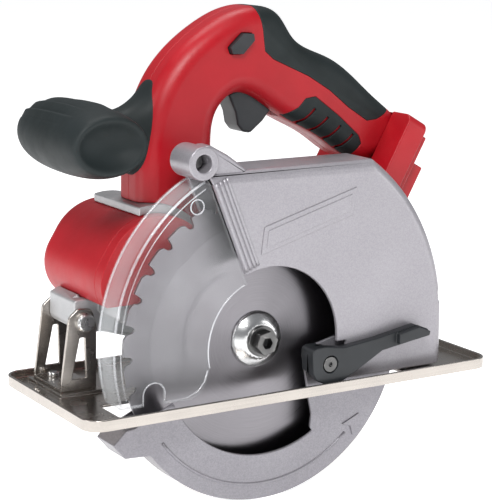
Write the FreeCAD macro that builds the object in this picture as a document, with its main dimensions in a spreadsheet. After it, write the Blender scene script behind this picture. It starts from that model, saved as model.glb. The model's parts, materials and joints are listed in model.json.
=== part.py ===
"""Cordless metal-cutting circular saw, bare tool, blade on the operator's left.

Frame: the origin lies on the sole, under the blade axis, in the parting plane of the
handle.  +X points to the rear, +Y to the motor side, +Z up.  The blade turns about a
line along Y and lies on the -Y side.
"""
import FreeCAD, Part
import math
import os
import re

import Sketcher
from FreeCAD import Placement, Rotation, Vector

# ---------------------------------------------------------------- driving dimensions

SIZES = (
    ("blade_dia", 174, "saw blade, tip to tip"),
    ("blade_thick", 1.8, "saw blade plate"),
    ("blade_y", -42, "middle plane of the blade"),
    ("axis_height", 31.2, "blade axis above the sole at full depth"),
    ("arbor_r", 10, "blade bore radius"),
    ("tooth_count", 30, "blade teeth"),
    ("shoe_front", 122.5, "blade axis to the front edge of the shoe"),
    ("shoe_rear", 153.5, "blade axis to the rear edge of the shoe"),
    ("shoe_near", 72, "handle plane to the near edge of the shoe"),
    ("shoe_far", 45, "handle plane to the far edge of the shoe"),
    ("shoe_floor", 2, "shoe floor thickness"),
    ("shoe_rim", 6.5, "shoe rim height"),
    ("shoe_wall", 1.8, "shoe rim thickness"),
    ("shoe_corner", 11, "shoe corner radius"),
    ("slot_gap", 2.4, "slot to lower guard, each side and each end"),
    ("emboss", 2, "height of the pressed platforms on the shoe"),
    ("pin_x", -92, "depth pivot pin, from the blade axis"),
    ("pin_z", 44, "depth pivot pin, above the sole"),
    ("pin_r", 3, "depth pivot pin radius"),
    ("bracket_near", -5, "near face of the front bracket"),
    ("bracket_width", 38, "front bracket, outside to outside"),
    ("bracket_sheet", 1.9, "front bracket plate"),
    ("bracket_round", 3.8, "rounding of the bracket's upper corners"),
    ("knuckle_r", 5.8, "outside radius of the arm's knuckle"),
    ("near_wall", 18, "blade plane to the outside of the near guard wall"),
    ("far_wall", 14, "blade plane to the outside of the far guard wall"),
    ("guard_wall", 3, "upper guard wall"),
    ("guard_r", 125.5, "upper guard outside radius"),
    ("guard_top", 134, "upper guard flat top above the sole"),
    ("guard_bottom", 4, "upper guard lower edge above the sole"),
    ("guard_round", 7, "rounding of the upper guard's near edge"),
    ("boss_r", 9.5, "boss that joins the two front guards"),
    ("boss_reach", 117.5, "that boss from the blade axis"),
    ("notch_r", 6, "notch in the rear edge of the upper guard"),
    ("notch_z", 47, "that notch above the sole"),
    ("window_r", 46, "window round the flange in the near guard wall"),
    ("split_angle", 112, "where the clear guard meets the metal guard, degrees from rear"),
    ("clear_r", 105.3, "clear guard outside radius"),
    ("clear_shift", 5, "clear guard centre, behind and above the blade axis"),
    ("clear_depth", 5, "blade plane to the far edge of the clear guard"),
    ("clear_round", 3, "rounding of the clear guard's near edge"),
    ("clear_wall", 2.2, "clear guard wall"),
    ("clear_window_r", 39.7, "window round the flange in the clear guard"),
    ("clear_bottom", 5.5, "clear guard lower edge above the sole"),
    ("arch_x", -75, "centre of the clear guard's arch, from the blade axis"),
    ("arch_z", 11.5, "centre of that arch, above the sole"),
    ("arch_r", 6.5, "half the width of that arch"),
    ("lower_r", 94.2, "lower guard outside radius"),
    ("lower_wall", 2, "lower guard wall"),
    ("lower_near", 12.5, "blade plane to the outside of the lower guard, near side"),
    ("lower_far", 8.5, "blade plane to the outside of the lower guard, far side"),
    ("lower_inner", 67, "inner edge of the lower guard's near wall"),
    ("lip_angle", 204, "front lip of the lower guard, degrees from rear"),
    ("tail_angle", -6, "rear end of the lower guard, degrees from rear"),
    ("lever_reach", 39.5, "lever screw from the blade axis"),
    ("lever_angle", -22, "lever screw, degrees from rear"),
    ("lever_neck", 5, "neck that carries the lever"),
    ("lever_thick", 6, "lever thickness"),
    ("lever_gap", 1.7, "lever to the upper guard's wall"),
    ("nose_r", 19, "gear case nose, where the lower guard turns"),
    ("nose_front", 6, "blade plane to the front of the nose"),
    ("case_wall", 2.7, "gear case wall"),
    ("case_rear", -3, "joint between gear case and its cover"),
    ("cover_thick", 6, "gear case cover"),
    ("stage1_module", 1.25, "motor pinion and large gear"),
    ("pinion_teeth", 12, "motor pinion"),
    ("large_teeth", 44, "large gear"),
    ("stage2_module", 1.6, "small gear and spindle gear"),
    ("small_teeth", 16, "small gear"),
    ("spindle_teeth", 28, "spindle gear"),
    ("train_angle", 36.5, "slope of the gear train, degrees"),
    ("gear_backlash", 0.14, "thinning of each tooth"),
    ("gear_gap", 1.5, "gear tips to the case"),
    ("spindle_r", 8, "spindle at its front bearing"),
    ("tail_r", 5, "spindle and idler shaft at the cover"),
    ("motor_shaft_r", 4, "motor shaft"),
    ("fit_gap", 0.05, "radial running clearance"),
    ("part_gap", 0.3, "clearance between parts that do not touch"),
    ("motor_r", 34, "motor housing outside radius"),
    ("belly_r", 24, "lower front arc of the motor housing"),
    ("belly_x", -70, "centre of that arc, from the blade axis"),
    ("belly_z", 70, "centre of that arc, above the sole"),
    ("arm_top", 57, "flat under the front of the motor housing, above the sole"),
    ("motor_wall", 3, "motor housing wall"),
    ("motor_end", 54, "far end of the motor housing"),
    ("motor_round", 11, "rounding of the motor housing's end"),
    ("ring_end", -22, "seam between front ring and motor housing"),
    ("handle_half", 18, "half the width of the handle"),
    ("handle_round", 11, "rounding of the handle's long edges"),
    ("handle_wall", 4.5, "handle wall, from outline to cavity"),
    ("cavity_half", 13, "half the width of the handle's cavity"),
    ("skin", 1.6, "rubber thickness on the grip"),
    ("trigger_half", 8.5, "half the width of the trigger"),
    ("trigger_travel", 6, "trigger stroke"),
    ("button_r", 5, "half the width of the lock-off button"),
    ("slit_width", 1.7, "slits in the side pads"),
    ("pommel_x", -96, "front knob axis, from the blade axis"),
    ("pommel_z", 151, "front knob axis, above the sole"),
    ("pommel_half", 56, "half the length of the front knob"),
    ("pommel_r", 22, "front knob radius"),
    ("pommel_skin", 3, "rubber thickness on the knob"),
    ("neck_half", 16, "half the width of the neck between knob and column"),
    ("neck_round", 8, "rounding along the neck"),
    ("foot_half", 38, "half the width of the battery foot"),
    ("foot_slope", 60.5, "slope of the battery plane, degrees"),
    ("rail_out", 16, "battery tower beyond the battery plane"),
    ("quadrant_r", 158, "depth quadrant slot, from the pivot pin"),
    ("quadrant_swing", 22, "depth adjustment, degrees"),
    ("screw_r", 2, "housing screws"),
    ("lock_r", 2.4, "spindle lock pin"),
    ("lock_reach", 15, "spindle lock pin, from the blade axis"),
    ("lock_travel", 5, "spindle lock stroke"),
)

DOC = FreeCAD.newDocument("CircularSaw")
SHEET = DOC.addObject("Spreadsheet::Sheet", "Sizes")
for row, (alias, number, meaning) in enumerate(SIZES, start=1):
    SHEET.set(f"A{row}", meaning)
    SHEET.set(f"B{row}", str(number))
    SHEET.setAlias(f"B{row}", alias)
DOC.recompute()

ALIAS = re.compile(r"\b(" + "|".join(alias for alias, _, _ in SIZES) + r")\b")
TURN = {
    "X": Rotation(Vector(0, 1, 0), 90),
    "Y": Rotation(Vector(1, 0, 0), -90),
    "Z": Rotation(),
}
NODES = {}
RIVETS = []

# Places that several pieces share, as formulas of the driving dimensions.
NEAR = "(blade_y - near_wall)"
FAR = "(blade_y + far_wall)"
LOWER_NEAR = "(blade_y - lower_near)"
LOWER_FAR = "(blade_y + lower_far)"
STAGE1 = "(stage1_module * (pinion_teeth + large_teeth) / 2)"
STAGE2 = "(stage2_module * (small_teeth + spindle_teeth) / 2)"
IDLER = (f"(-{STAGE2} * cos(train_angle))", f"(axis_height + {STAGE2} * sin(train_angle))")
MOTOR = (
    f"(-({STAGE1} + {STAGE2}) * cos(train_angle))",
    f"(axis_height + ({STAGE1} + {STAGE2}) * sin(train_angle))",
)
AXIS = ("0", "axis_height")
SPINDLE_LOBE = "(stage2_module * (spindle_teeth + 2) / 2 + gear_gap)"
IDLER_LOBE = "(stage1_module * (large_teeth + 2) / 2 + gear_gap)"
MOTOR_LOBE = "(pinion_teeth * stage1_module + gear_gap)"
CASE_FRONT = "(blade_y + far_wall + part_gap / 3)"
LEVER = (
    "(lever_reach * cos(lever_angle))",
    "(axis_height + lever_reach * sin(lever_angle))",
)
PIN = ("pin_x", "pin_z")
CLAMP = ("(pin_x + quadrant_r * cos(6))", "(pin_z - quadrant_r * sin(6))")
LOCK = ("lock_reach", "axis_height")


# ---------------------------------------------------------------- small toolbox

def formula(text):
    """The same formula, with every size read from the sheet."""
    return ALIAS.sub(r"Sizes.\1", str(text))


def value(text):
    """The formula's number, in millimetres or degrees."""
    result = SHEET.evalExpression(formula(text))
    return float(getattr(result, "Value", result))


def bind(thing, sizes):
    for name, text in sizes.items():
        thing.setExpression(name, formula(text))


def place(thing, at, axis="Z"):
    thing.Placement = Placement(Vector(), TURN[axis])
    bind(thing, {f"Placement.Base.{c}": text for c, text in zip("xyz", at)})
    return thing


def cylinder(name, radius, low, high, centre, axis="Y"):
    """A cylinder along an axis from low to high; centre is its place on the other two."""
    rod = DOC.addObject("Part::Cylinder", name)
    bind(rod, {"Radius": radius, "Height": f"{high} - ({low})"})
    spot = {"X": (low, *centre), "Y": (centre[0], low, centre[1]), "Z": (*centre, low)}[axis]
    return place(rod, spot, axis)


def box(name, low, high):
    """A box between two corners."""
    block = DOC.addObject("Part::Box", name)
    sides = dict(zip(("Length", "Width", "Height"), zip(low, high)))
    bind(block, {side: f"{b} - ({a})" for side, (a, b) in sides.items()})
    return place(block, low)


def cut(name, base, tool):
    result = DOC.addObject("Part::Cut", name)
    result.Base = base
    result.Tool = tool
    return result


def join(name, pieces, kind="Part::MultiFuse"):
    result = DOC.addObject(kind, name)
    result.Shapes = pieces
    return result


def overlap(name, pieces):
    return join(name, pieces, "Part::MultiCommon")


def group(name, pieces):
    """Several separate solids under one name."""
    result = DOC.addObject("Part::Compound", name)
    result.Links = pieces
    return result


def tube(name, outer, inner, low, high, centre, axis="Y"):
    rod = cylinder(name + "_rod", outer, low, high, centre, axis)
    bore = cylinder(name + "_bore", inner, f"({low}) - 1", f"({high}) + 1", centre, axis)
    return cut(name, rod, bore)


def rounded(name, base, radius, chosen):
    """Part fillet on the edges that chosen(edge) picks."""
    DOC.recompute()
    fillet = DOC.addObject("Part::Fillet", name)
    fillet.Base = base
    size = value(radius)
    edges = enumerate(base.Shape.Edges, start=1)
    fillet.Edges = [(number, size, size) for number, edge in edges if chosen(edge)]
    return fillet


def node(name, thing):
    """Hand a finished piece in under its own label."""
    thing.Label = name
    NODES[name] = thing
    return thing


def solid(name, shape):
    """A piece that Part's own functions shaped."""
    feature = DOC.addObject("Part::Feature", name)
    feature.Shape = shape
    feature.Placement = shape.Placement
    return feature


def new_body(name, at=("0", "0", "0")):
    body = DOC.addObject("PartDesign::Body", name)
    return place(body, at)


def new_sketch(body, role, name):
    plane = next(item for item in body.Origin.OriginFeatures if item.Role == role)
    sketch = body.newObject("Sketcher::SketchObject", name)
    sketch.AttachmentSupport = [(plane, "")]
    sketch.MapMode = "FlatFace"
    return sketch


def hold(sketch, kind, geometry, text):
    """A dimension from the sketch's origin, or a radius, tied to its formula."""
    number = value(text)
    if kind == "Radius":
        index = sketch.addConstraint(Sketcher.Constraint(kind, geometry[0], number))
    else:
        index = sketch.addConstraint(Sketcher.Constraint(kind, -1, 1, *geometry, number))
    sketch.setExpression(f"Constraints[{index}]", formula(text))


def outline(sketch, points):
    """A closed outline of straight edges whose corners follow their formulas."""
    first = sketch.GeometryCount
    count = len(points)
    corners = [Vector(value(x), value(y), 0) for x, y in points]
    for index, corner in enumerate(corners):
        sketch.addGeometry(Part.LineSegment(corner, corners[(index + 1) % count]))
    for index in range(count):
        after = first + (index + 1) % count
        sketch.addConstraint(Sketcher.Constraint("Coincident", first + index, 2, after, 1))
    for index, (x, y) in enumerate(points, start=first):
        hold(sketch, "DistanceX", (index, 1), x)
        hold(sketch, "DistanceY", (index, 1), y)


def ring(sketch, x, y, radius):
    centre = Vector(value(x), value(y), 0)
    index = sketch.addGeometry(Part.Circle(centre, Vector(0, 0, 1), value(radius)))
    hold(sketch, "DistanceX", (index, 3), x)
    hold(sketch, "DistanceY", (index, 3), y)
    hold(sketch, "Radius", (index,), radius)


def pad(body, sketch, length, reverse=False):
    feature = body.newObject("PartDesign::Pad", sketch.Name + "_pad")
    feature.Profile = sketch
    feature.Reversed = reverse
    bind(feature, {"Length": length})
    return feature


def pocket_through(body, sketch):
    """A pocket both ways through the whole body."""
    feature = body.newObject("PartDesign::Pocket", sketch.Name + "_pocket")
    feature.Profile = sketch
    feature.Type = "ThroughAll"
    feature.Midplane = True
    return feature


def round_body(body, feature, radius, chosen):
    DOC.recompute()
    names = [f"Edge{i}" for i, e in enumerate(feature.Shape.Edges, start=1) if chosen(e)]
    fillet = body.newObject("PartDesign::Fillet", body.Name + "_fillet")
    fillet.Base = (feature, names)
    bind(fillet, {"Radius": radius})
    return fillet


def plate(name, points, low, high):
    """A flat piece drawn in the XZ plane, from y = low to y = high."""
    body = new_body(name, ("0", low, "0"))
    sketch = new_sketch(body, "XZ_Plane", name + "_outline")
    outline(sketch, points)
    pad(body, sketch, f"{high} - ({low})", reverse=True)
    return body


def turned(name, centre, profile, start="0"):
    """A piece turned about a line along Y; the profile is (y, radius) pairs."""
    body = new_body(name, (centre[0], start, centre[1]))
    sketch = new_sketch(body, "YZ_Plane", name + "_profile")
    outline(sketch, profile)
    feature = body.newObject("PartDesign::Revolution", name + "_turn")
    feature.Profile = sketch
    feature.ReferenceAxis = (sketch, ["H_Axis"])
    feature.Angle = 360
    return body


def upright(edge):
    """True for straight edges along Z."""
    return edge.BoundBox.XLength < 0.01 and edge.BoundBox.YLength < 0.01


def across(edge):
    """True for straight edges along Y."""
    return edge.BoundBox.XLength < 0.01 and edge.BoundBox.ZLength < 0.01


def polar(radius, angle, centre=AXIS):
    """A point at an angle from the rear, as two formulas."""
    return (
        f"({centre[0]} + ({radius}) * cos({angle}))",
        f"({centre[1]} + ({radius}) * sin({angle}))",
    )


# ---------------------------------------------------------------- shoe and front bracket

def make_shoe():
    """Pressed steel tray with an upturned rim, a slot and two raised platforms."""
    corner = lambda grow, z: (f"-shoe_front + {grow}", f"-shoe_near + {grow}", z)
    end = lambda grow, z: (f"shoe_rear - {grow}", f"shoe_far - {grow}", z)
    tray = box("shoe_block", corner("0", "0"), end("0", "shoe_rim"))
    tray = rounded("shoe_outside", tray, "shoe_corner", upright)
    space = box("shoe_space", corner("shoe_wall", "shoe_floor"), end("shoe_wall", "shoe_rim + 5"))
    space = rounded("shoe_inside", space, "shoe_corner - shoe_wall", upright)
    tray = cut("shoe_tray", tray, space)
    front = ("pin_x - 18", "bracket_near - 4")
    back = ("pin_x + 9", "bracket_near + bracket_width + 4")
    raised = box("shoe_platform", (*front, "shoe_floor / 2"), (*back, "shoe_floor + emboss"))
    hollow = box("shoe_hollow", (f"{front[0]} + 2.5", f"{front[1]} + 2.5", "-1"),
                 (f"{back[0]} - 2.5", f"{back[1]} - 2.5", "emboss"))
    tray = cut("shoe_pressed", join("shoe_raised", [tray, raised]), hollow)
    reach = "(lower_r + slot_gap)"
    slot = box("shoe_slot", (f"-{reach}", f"{LOWER_NEAR} - slot_gap - 1.6", "-1"),
               (reach, f"{LOWER_FAR} + slot_gap", "shoe_rim + 1"))
    slot = rounded("shoe_slot_round", slot, "3", upright)
    hole = cylinder("shoe_hole", "2.6", "-1", "shoe_floor + 2", ("-shoe_front + 7.5", "14"), "Z")
    node("shoe", cut("shoe_slotted", tray, join("shoe_openings", [slot, hole])))


def make_front_bracket():
    """Folded A-frame: two legged plates on a base plate."""
    low = "bracket_near"
    high = "(bracket_near + bracket_width)"
    base = "(shoe_floor + emboss)"
    body = new_body("front_bracket_body", ("pin_x", low, "0"))
    side = new_sketch(body, "XZ_Plane", "bracket_side")
    outline(side, [("-16", base), ("7", base), ("7.5", "pin_z - 2"), ("4.5", "pin_z + 7.5"),
                   ("-4", "pin_z + 8.4"), ("-10", "pin_z + 3.5")])
    feature = pad(body, side, "bracket_width", reverse=True)
    rounds = round_body(body, feature, "bracket_round", lambda e: across(e) and e.BoundBox.ZMin > 20)
    body.Tip = rounds
    middle = new_sketch(body, "YZ_Plane", "bracket_middle")
    outline(middle, [("bracket_sheet", f"{base} + bracket_sheet"),
                     ("bracket_width - bracket_sheet", f"{base} + bracket_sheet"),
                     ("bracket_width - bracket_sheet", "pin_z + 20"),
                     ("bracket_sheet", "pin_z + 20")])
    pocket_through(body, middle)
    window = new_sketch(body, "XZ_Plane", "bracket_window")
    outline(window, [("-8.5", f"{base} + 7"), ("0.5", f"{base} + 7"),
                     ("-0.2", "pin_z - 9"), ("-3.2", "pin_z - 9")])
    pocket_through(body, window)
    bore = new_sketch(body, "XZ_Plane", "bracket_bore")
    ring(bore, "0", "pin_z", "pin_r")
    pocket_through(body, bore)
    node("front_bracket", body)
    rivets = []
    for index, y in enumerate((f"{low} + 11", f"{high} - 8")):
        spot = ("pin_x - 6.5", y)
        head = cylinder(f"rivet_head{index}", "3.6", f"{base} + bracket_sheet",
                        f"{base} + bracket_sheet + 2.6", spot, "Z")
        rivets.append(rounded(f"rivet{index}", head, "1.2",
                              lambda e: e.BoundBox.ZMin > value(base) + 4))
    RIVETS.extend(rivets)
    reach = "(bracket_width + 2 * 3.2)"
    node("depth_pivot_pin", turned("pivot_pin_body", PIN, [
        ("0", "0"), ("0", "pin_r + 1.6"), ("1", "pin_r + 2.6"), ("3.2", "pin_r + 2.6"),
        ("3.2", "pin_r"), (f"{reach} - 3.2", "pin_r"), (f"{reach} - 3.2", "pin_r + 2.6"),
        (f"{reach} - 1", "pin_r + 2.6"), (reach, "pin_r + 1.6"), (reach, "0"),
    ], f"{low} - 3.2"))


# ---------------------------------------------------------------- gear case

def hull(name, circles, low, high):
    """Rounded block round a row of circles, each a centre and a radius."""
    centres = [Vector(value(x), 0, value(z)) for (x, z), _ in circles]
    sizes = [value(radius) for _, radius in circles]
    start, depth = value(low), value(f"{high} - ({low})")
    along = Vector(0, 1, 0)
    shape = None
    for (a, ra), (b, rb) in zip(zip(centres, sizes), list(zip(centres, sizes))[1:]):
        gap = b - a
        slope = math.atan2(gap.z, gap.x)
        lean = math.acos((ra - rb) / gap.Length)
        ends = []
        for centre, radius, turn in ((a, ra, lean), (b, rb, lean), (b, rb, -lean), (a, ra, -lean)):
            angle = slope + turn
            ends.append(centre + Vector(radius * math.cos(angle), 0, radius * math.sin(angle)))
        web = Part.Face(Part.makePolygon(ends + [ends[0]])).extrude(along * depth)
        discs = [Part.makeCylinder(r, depth, c, along) for c, r in ((a, ra), (b, rb))]
        block = web.multiFuse(discs)
        shape = block if shape is None else shape.fuse(block)
    shape = shape.removeSplitter()
    shape.translate(Vector(0, start, 0))
    return solid(name, shape)


def train(extra="0"):
    """The three shafts of the gear train, with the room each needs and a little more."""
    lobes = ((AXIS, SPINDLE_LOBE), (IDLER, IDLER_LOBE), (MOTOR, MOTOR_LOBE))
    return [(centre, f"({lobe} + {extra})") for centre, lobe in lobes]


def housing(extra="0"):
    """The two arcs of the motor housing's outline, and a little more."""
    return [(MOTOR, f"(motor_r + {extra})"), (("belly_x", "belly_z"), f"(belly_r + {extra})")]


def make_gear_case():
    """Cast case with the nose for the lower guard, the knuckle arm and the cover."""
    block = hull("case_block", train("case_wall"), CASE_FRONT, "case_rear")
    space = hull("case_space", train(), f"{CASE_FRONT} + guard_wall", "case_rear + 1")
    nose = cylinder("case_nose", "nose_r", "(blade_y + nose_front)", f"{CASE_FRONT} + 1", AXIS)
    arm_start = "(bracket_near + bracket_sheet + part_gap)"
    arm_end = "(bracket_near + bracket_width - bracket_sheet - part_gap)"
    knuckle = cylinder("arm_knuckle", "knuckle_r", arm_start, arm_end, PIN)
    reach = ((-5.8, 0), (-5.6, 12), (2, 15.5), (38, 15.5), (38, -13), (30, -13), (14, -8),
             (0, -5.8))
    link = plate("arm_link", [(f"pin_x + {dx}", f"pin_z + {dz}") for dx, dz in reach],
                 arm_start, arm_end)
    drum = hull("arm_drum", housing("part_gap"), "case_rear + cover_thick + part_gap", "60")
    front = hull("arm_front", housing("0"), CASE_FRONT, "case_rear + cover_thick + part_gap")
    keep = box("arm_keep", ("pin_x + 10", "-60", "0"), ("-12", "60", "arm_top"))
    room = hull("arm_room", train("case_wall + part_gap"), "case_rear - 0.01",
                "(case_rear + cover_thick) + part_gap")
    top = box("arm_link_top", ("-130", "-60", "arm_top"),
              ("-12", "case_rear + cover_thick + 1", "99"))
    arm = [cut("arm_clear", overlap("arm", [front, keep]), room),
           cut("arm_link_cut", link, join("arm_link_room", [drum, top, room]))]
    casting = join("case_casting", [block, nose, knuckle, *arm])
    bores = [
        space,
        cylinder("case_bearing_seat", "16", "(blade_y + nose_front) - 1",
                 "(blade_y + nose_front) + 9", AXIS),
        cylinder("case_shaft_hole", "spindle_r + 1.5", f"{CASE_FRONT} - 2",
                 f"{CASE_FRONT} + 5", AXIS),
        cylinder("case_idler_seat", "tail_r + 2", f"{CASE_FRONT} + 1", f"{CASE_FRONT} + 5", IDLER),
        cylinder("knuckle_bore", "pin_r + fit_gap", "-60", "60", PIN),
    ]
    node("gear_case", cut("gear_case_cut", casting, join("case_bores", bores)))
    cover = hull("cover_block", train("case_wall"), "case_rear", "case_rear + cover_thick")
    seats = [
        cylinder("cover_seat_spindle", "11", "case_rear - 1", "case_rear + 5", AXIS),
        cylinder("cover_seat_idler", "tail_r + 2", "case_rear - 1", "case_rear + 5", IDLER),
        cylinder("cover_seat_motor", "11", "case_rear - 2", "case_rear + cover_thick + 1", MOTOR),
        cylinder("cover_lock_hole", "lock_r + fit_gap", "case_rear - 1",
                 "case_rear + cover_thick + 1", LOCK),
    ]
    node("gear_case_cover", cut("cover_cut", cover, join("cover_seats", seats)))
    heads = []
    spots = ((SPINDLE_LOBE, 250, AXIS), (SPINDLE_LOBE, 320, AXIS), (IDLER_LOBE, 60, IDLER))
    for index, (lobe, angle, centre) in enumerate(spots):
        heads.append(cylinder(f"case_screw{index}", "3.4", "case_rear + cover_thick",
                              "case_rear + cover_thick + 3", polar(f"{lobe} - 1", angle, centre)))
    node("gear_case_screws", group("case_screw_set", heads))


# ---------------------------------------------------------------- gears and shafts

def gear_shape(module, teeth, phase, bore, low, high):
    """Involute spur gear about a line along Y, a tooth centred at the angle phase."""
    press = math.radians(25)
    pitch = module * teeth / 2
    base = pitch * math.cos(press)
    tip = pitch + module
    root = pitch - 1.25 * module
    involute = lambda angle: math.tan(angle) - angle
    half_pitch = math.pi / (2 * teeth) - value("gear_backlash") / (2 * pitch)

    def half(radius):
        return half_pitch + involute(press) - involute(math.acos(min(1, base / radius)))

    def spot(radius, angle):
        return Vector(radius * math.cos(angle), 0, radius * math.sin(angle))

    start = max(base, root)
    steps = [start + (tip - start) * share / 4 for share in range(5)]
    edges = []
    for tooth in range(teeth):
        middle = phase + 2 * math.pi * tooth / teeth
        after = middle + 2 * math.pi / teeth
        rise = [spot(r, middle - half(r)) for r in steps]
        fall = [spot(r, middle + half(r)) for r in reversed(steps)]
        if base > root:
            edges.append(Part.LineSegment(spot(root, middle - half(start)), rise[0]))
        for flank, join_on in ((rise, spot(tip, middle)), (fall, None)):
            curve = Part.BSplineCurve()
            curve.interpolate(flank)
            edges.append(curve)
            if join_on:
                edges.append(Part.Arc(rise[-1], join_on, fall[0]))
        if base > root:
            edges.append(Part.LineSegment(fall[-1], spot(root, middle + half(start))))
        ends = (spot(root, middle + half(start)), spot(root, after - half(start)))
        edges.append(Part.Arc(ends[0], spot(root, (middle + after) / 2), ends[1]))
    wire = Part.Wire(Part.__sortEdges__([edge.toShape() for edge in edges]))
    blank = Part.Face(wire).extrude(Vector(0, high - low, 0))
    hole = Part.makeCylinder(bore, high - low + 2, Vector(0, -1, 0), Vector(0, 1, 0))
    return blank.cut(hole)


def gear(name, module, teeth, phase, bore, low, high, centre):
    """A gear placed on its shaft."""
    size = value(teeth)
    angle = math.radians(value(phase))
    start, end = value(low), value(high)
    shape = gear_shape(value(module), int(size), angle, value(bore), start, end)
    feature = solid(name + "_gear", shape)
    return place(feature, (centre[0], low, centre[1]))


def make_gears():
    """Motor pinion to large gear, small gear to spindle gear; all in mesh."""
    front = (f"({CASE_FRONT} + guard_wall + 1)", f"({CASE_FRONT} + guard_wall + 12)")
    rear = (f"({CASE_FRONT} + guard_wall + 13.5)", f"({CASE_FRONT} + guard_wall + 20)")
    facing = "180 - train_angle"
    wheel = gear("spindle", "stage2_module", "spindle_teeth", facing, "spindle_r", *front, AXIS)
    holes = [cylinder(f"lock_hole{turn}", "lock_r + part_gap", "-60", "0",
                      polar("lock_reach", turn)) for turn in (0, 90, 180, 270)]
    node("spindle_gear", cut("spindle_gear_drilled", wheel, join("lock_holes", holes)))
    node("idler_small_gear", gear("small", "stage2_module", "small_teeth",
                                  "-train_angle + 180 / small_teeth", "tail_r", *front, IDLER))
    node("idler_large_gear", gear("large", "stage1_module", "large_teeth", facing,
                                  "tail_r", *rear, IDLER))
    node("motor_pinion", gear("pinion", "stage1_module", "pinion_teeth",
                              "-train_angle + 180 / pinion_teeth", "motor_shaft_r", *rear, MOTOR))
    node("idler_shaft", cylinder("idler_shaft_rod", "tail_r", f"{CASE_FRONT} + 1",
                                 "case_rear + 5", IDLER))
    ends = (("front", f"{CASE_FRONT} + 1", "2"), ("rear", "case_rear", "5"))
    node("idler_bushes", group("idler_bush_pair", [
        tube(f"idler_bush_{side}", "tail_r + 2", "tail_r + fit_gap", low, f"{low} + {long}", IDLER)
        for side, low, long in ends]))


def make_spindle():
    """Spindle, its bearings and what clamps the blade on it."""
    seat = "(blade_y + nose_front - 2.4)"
    gear_low = f"({CASE_FRONT} + guard_wall + 1)"
    shoulder = f"({CASE_FRONT} + guard_wall + 12)"
    depth = lambda y: f"{y} - {seat}"
    node("spindle", turned("spindle_body", AXIS, [
        ("0", "4"), ("0", "spindle_r"), (depth(shoulder), "spindle_r"),
        (depth(shoulder), "tail_r"), (depth("case_rear + 4.5"), "tail_r"),
        (depth("case_rear + 4.5"), "0"), ("18", "0"), ("18", "4"),
    ], seat))
    node("spindle_front_bearing", bearing("front", "spindle_r", "16",
                                          "(blade_y + nose_front)", "9", AXIS))
    node("spindle_rear_bearing", bearing("rear", "tail_r", "11", "case_rear - 1", "6", AXIS))
    inner = "blade_y + blade_thick / 2"
    node("inner_flange", turned("inner_flange_body", AXIS, [
        ("-blade_thick - 0.6", "4"), ("-blade_thick - 0.6", "arbor_r"), ("0", "arbor_r"),
        ("0", "17"), ("1.2", "17"), (f"{seat} - ({inner})", "13"), (f"{seat} - ({inner})", "4"),
    ], inner))
    outer = "blade_y - blade_thick / 2"
    node("outer_flange", turned("outer_flange_body", AXIS, [
        ("-6.2", "4"), ("-6.2", "9.5"), ("-5.2", "12"), ("-2.6", "15.6"), ("-1", "16.8"),
        ("0", "16.8"), ("0", "arbor_r + 0.4"), ("-0.8", "arbor_r + 0.4"), ("-0.8", "4"),
    ], outer))
    face = f"({outer} - 6.2)"
    node("blade_washer", tube("washer", "9.2", "4", f"{face} - 1.8", face, AXIS))
    head_low = f"{face} - 1.8 - 5.4"
    head = plate("bolt_head", [polar("7.4", 60 * side + 12) for side in range(6)],
                 head_low, f"({face} - 1.8)")
    socket = plate("bolt_socket", [polar("3.4", 60 * side) for side in range(6)],
                   f"{head_low} - 1", f"({head_low} + 5)")
    shank = cylinder("bolt_shank", "4", f"{face} - 2", f"({seat} + 15)", AXIS)
    node("blade_bolt", cut("blade_bolt_cut", join("bolt_blank", [head, shank]), socket))


def bearing(name, bore, outside, low, width, centre):
    """A ball bearing as its rings and shields, closed."""
    high = f"({low} + {width})"
    race = tube(f"{name}_race", outside, f"{bore} + fit_gap", low, high, centre)
    middle = f"(({bore} + {outside}) / 2)"
    grooves = [
        tube(f"{name}_shield{side}", f"{middle} + 1.6", f"{middle} - 1.6", a, b, centre)
        for side, (a, b) in enumerate(((f"({low} - 1)", f"({low} + 0.5)"),
                                       (f"({high} - 0.5)", f"({high} + 1)")))
    ]
    return cut(f"{name}_bearing", race, join(f"{name}_grooves", grooves))


# ---------------------------------------------------------------- blade

def make_blade():
    """Toothed blade plate with a round bore and four expansion slots."""
    body = new_body("blade_body", ("0", "blade_y - blade_thick / 2", "axis_height"))
    disc = new_sketch(body, "XZ_Plane", "blade_disc")
    ring(disc, "0", "0", "blade_dia / 2")
    ring(disc, "0", "0", "arbor_r + 0.05")
    pad(body, disc, "blade_thick", reverse=True)
    gullet = new_sketch(body, "XZ_Plane", "blade_gullet")
    outline(gullet, [("blade_dia / 2 + 1", "-0.4"), ("blade_dia / 2 - 4.4", "0.6"),
                     ("blade_dia / 2 - 5.8", "1.6"), ("blade_dia / 2 - 5.8", "3"),
                     ("blade_dia / 2 - 4.6", "4.4"), ("blade_dia / 2 - 1.8", "5.4"),
                     ("blade_dia / 2 - 0.9", "7"), ("blade_dia / 2 + 1", "12.5")])
    first = pocket_through(body, gullet)
    pattern = body.newObject("PartDesign::PolarPattern", "blade_teeth")
    pattern.Originals = [first]
    pattern.Axis = (disc, ["N_Axis"])
    pattern.Angle = 360
    bind(pattern, {"Occurrences": "tooth_count"})
    body.Tip = pattern
    node("blade", body)


# ---------------------------------------------------------------- guards

def guard_block(name, inset, low, high):
    """Upper guard volume: flat top, round rear, straight down behind, moved in by inset."""
    radius = f"(guard_r - {inset})"
    drum = cylinder(name + "_drum", radius, low, high, AXIS)
    heel = box(name + "_heel", ("0", low, "guard_bottom - 2"), (radius, high, "axis_height"))
    whole = join(name + "_whole", [drum, heel])
    limit = box(name + "_limit", ("-60", low, "guard_bottom"),
                (f"{radius} + 5", high, f"guard_top - {inset}"))
    return overlap(name, [whole, limit])


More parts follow.
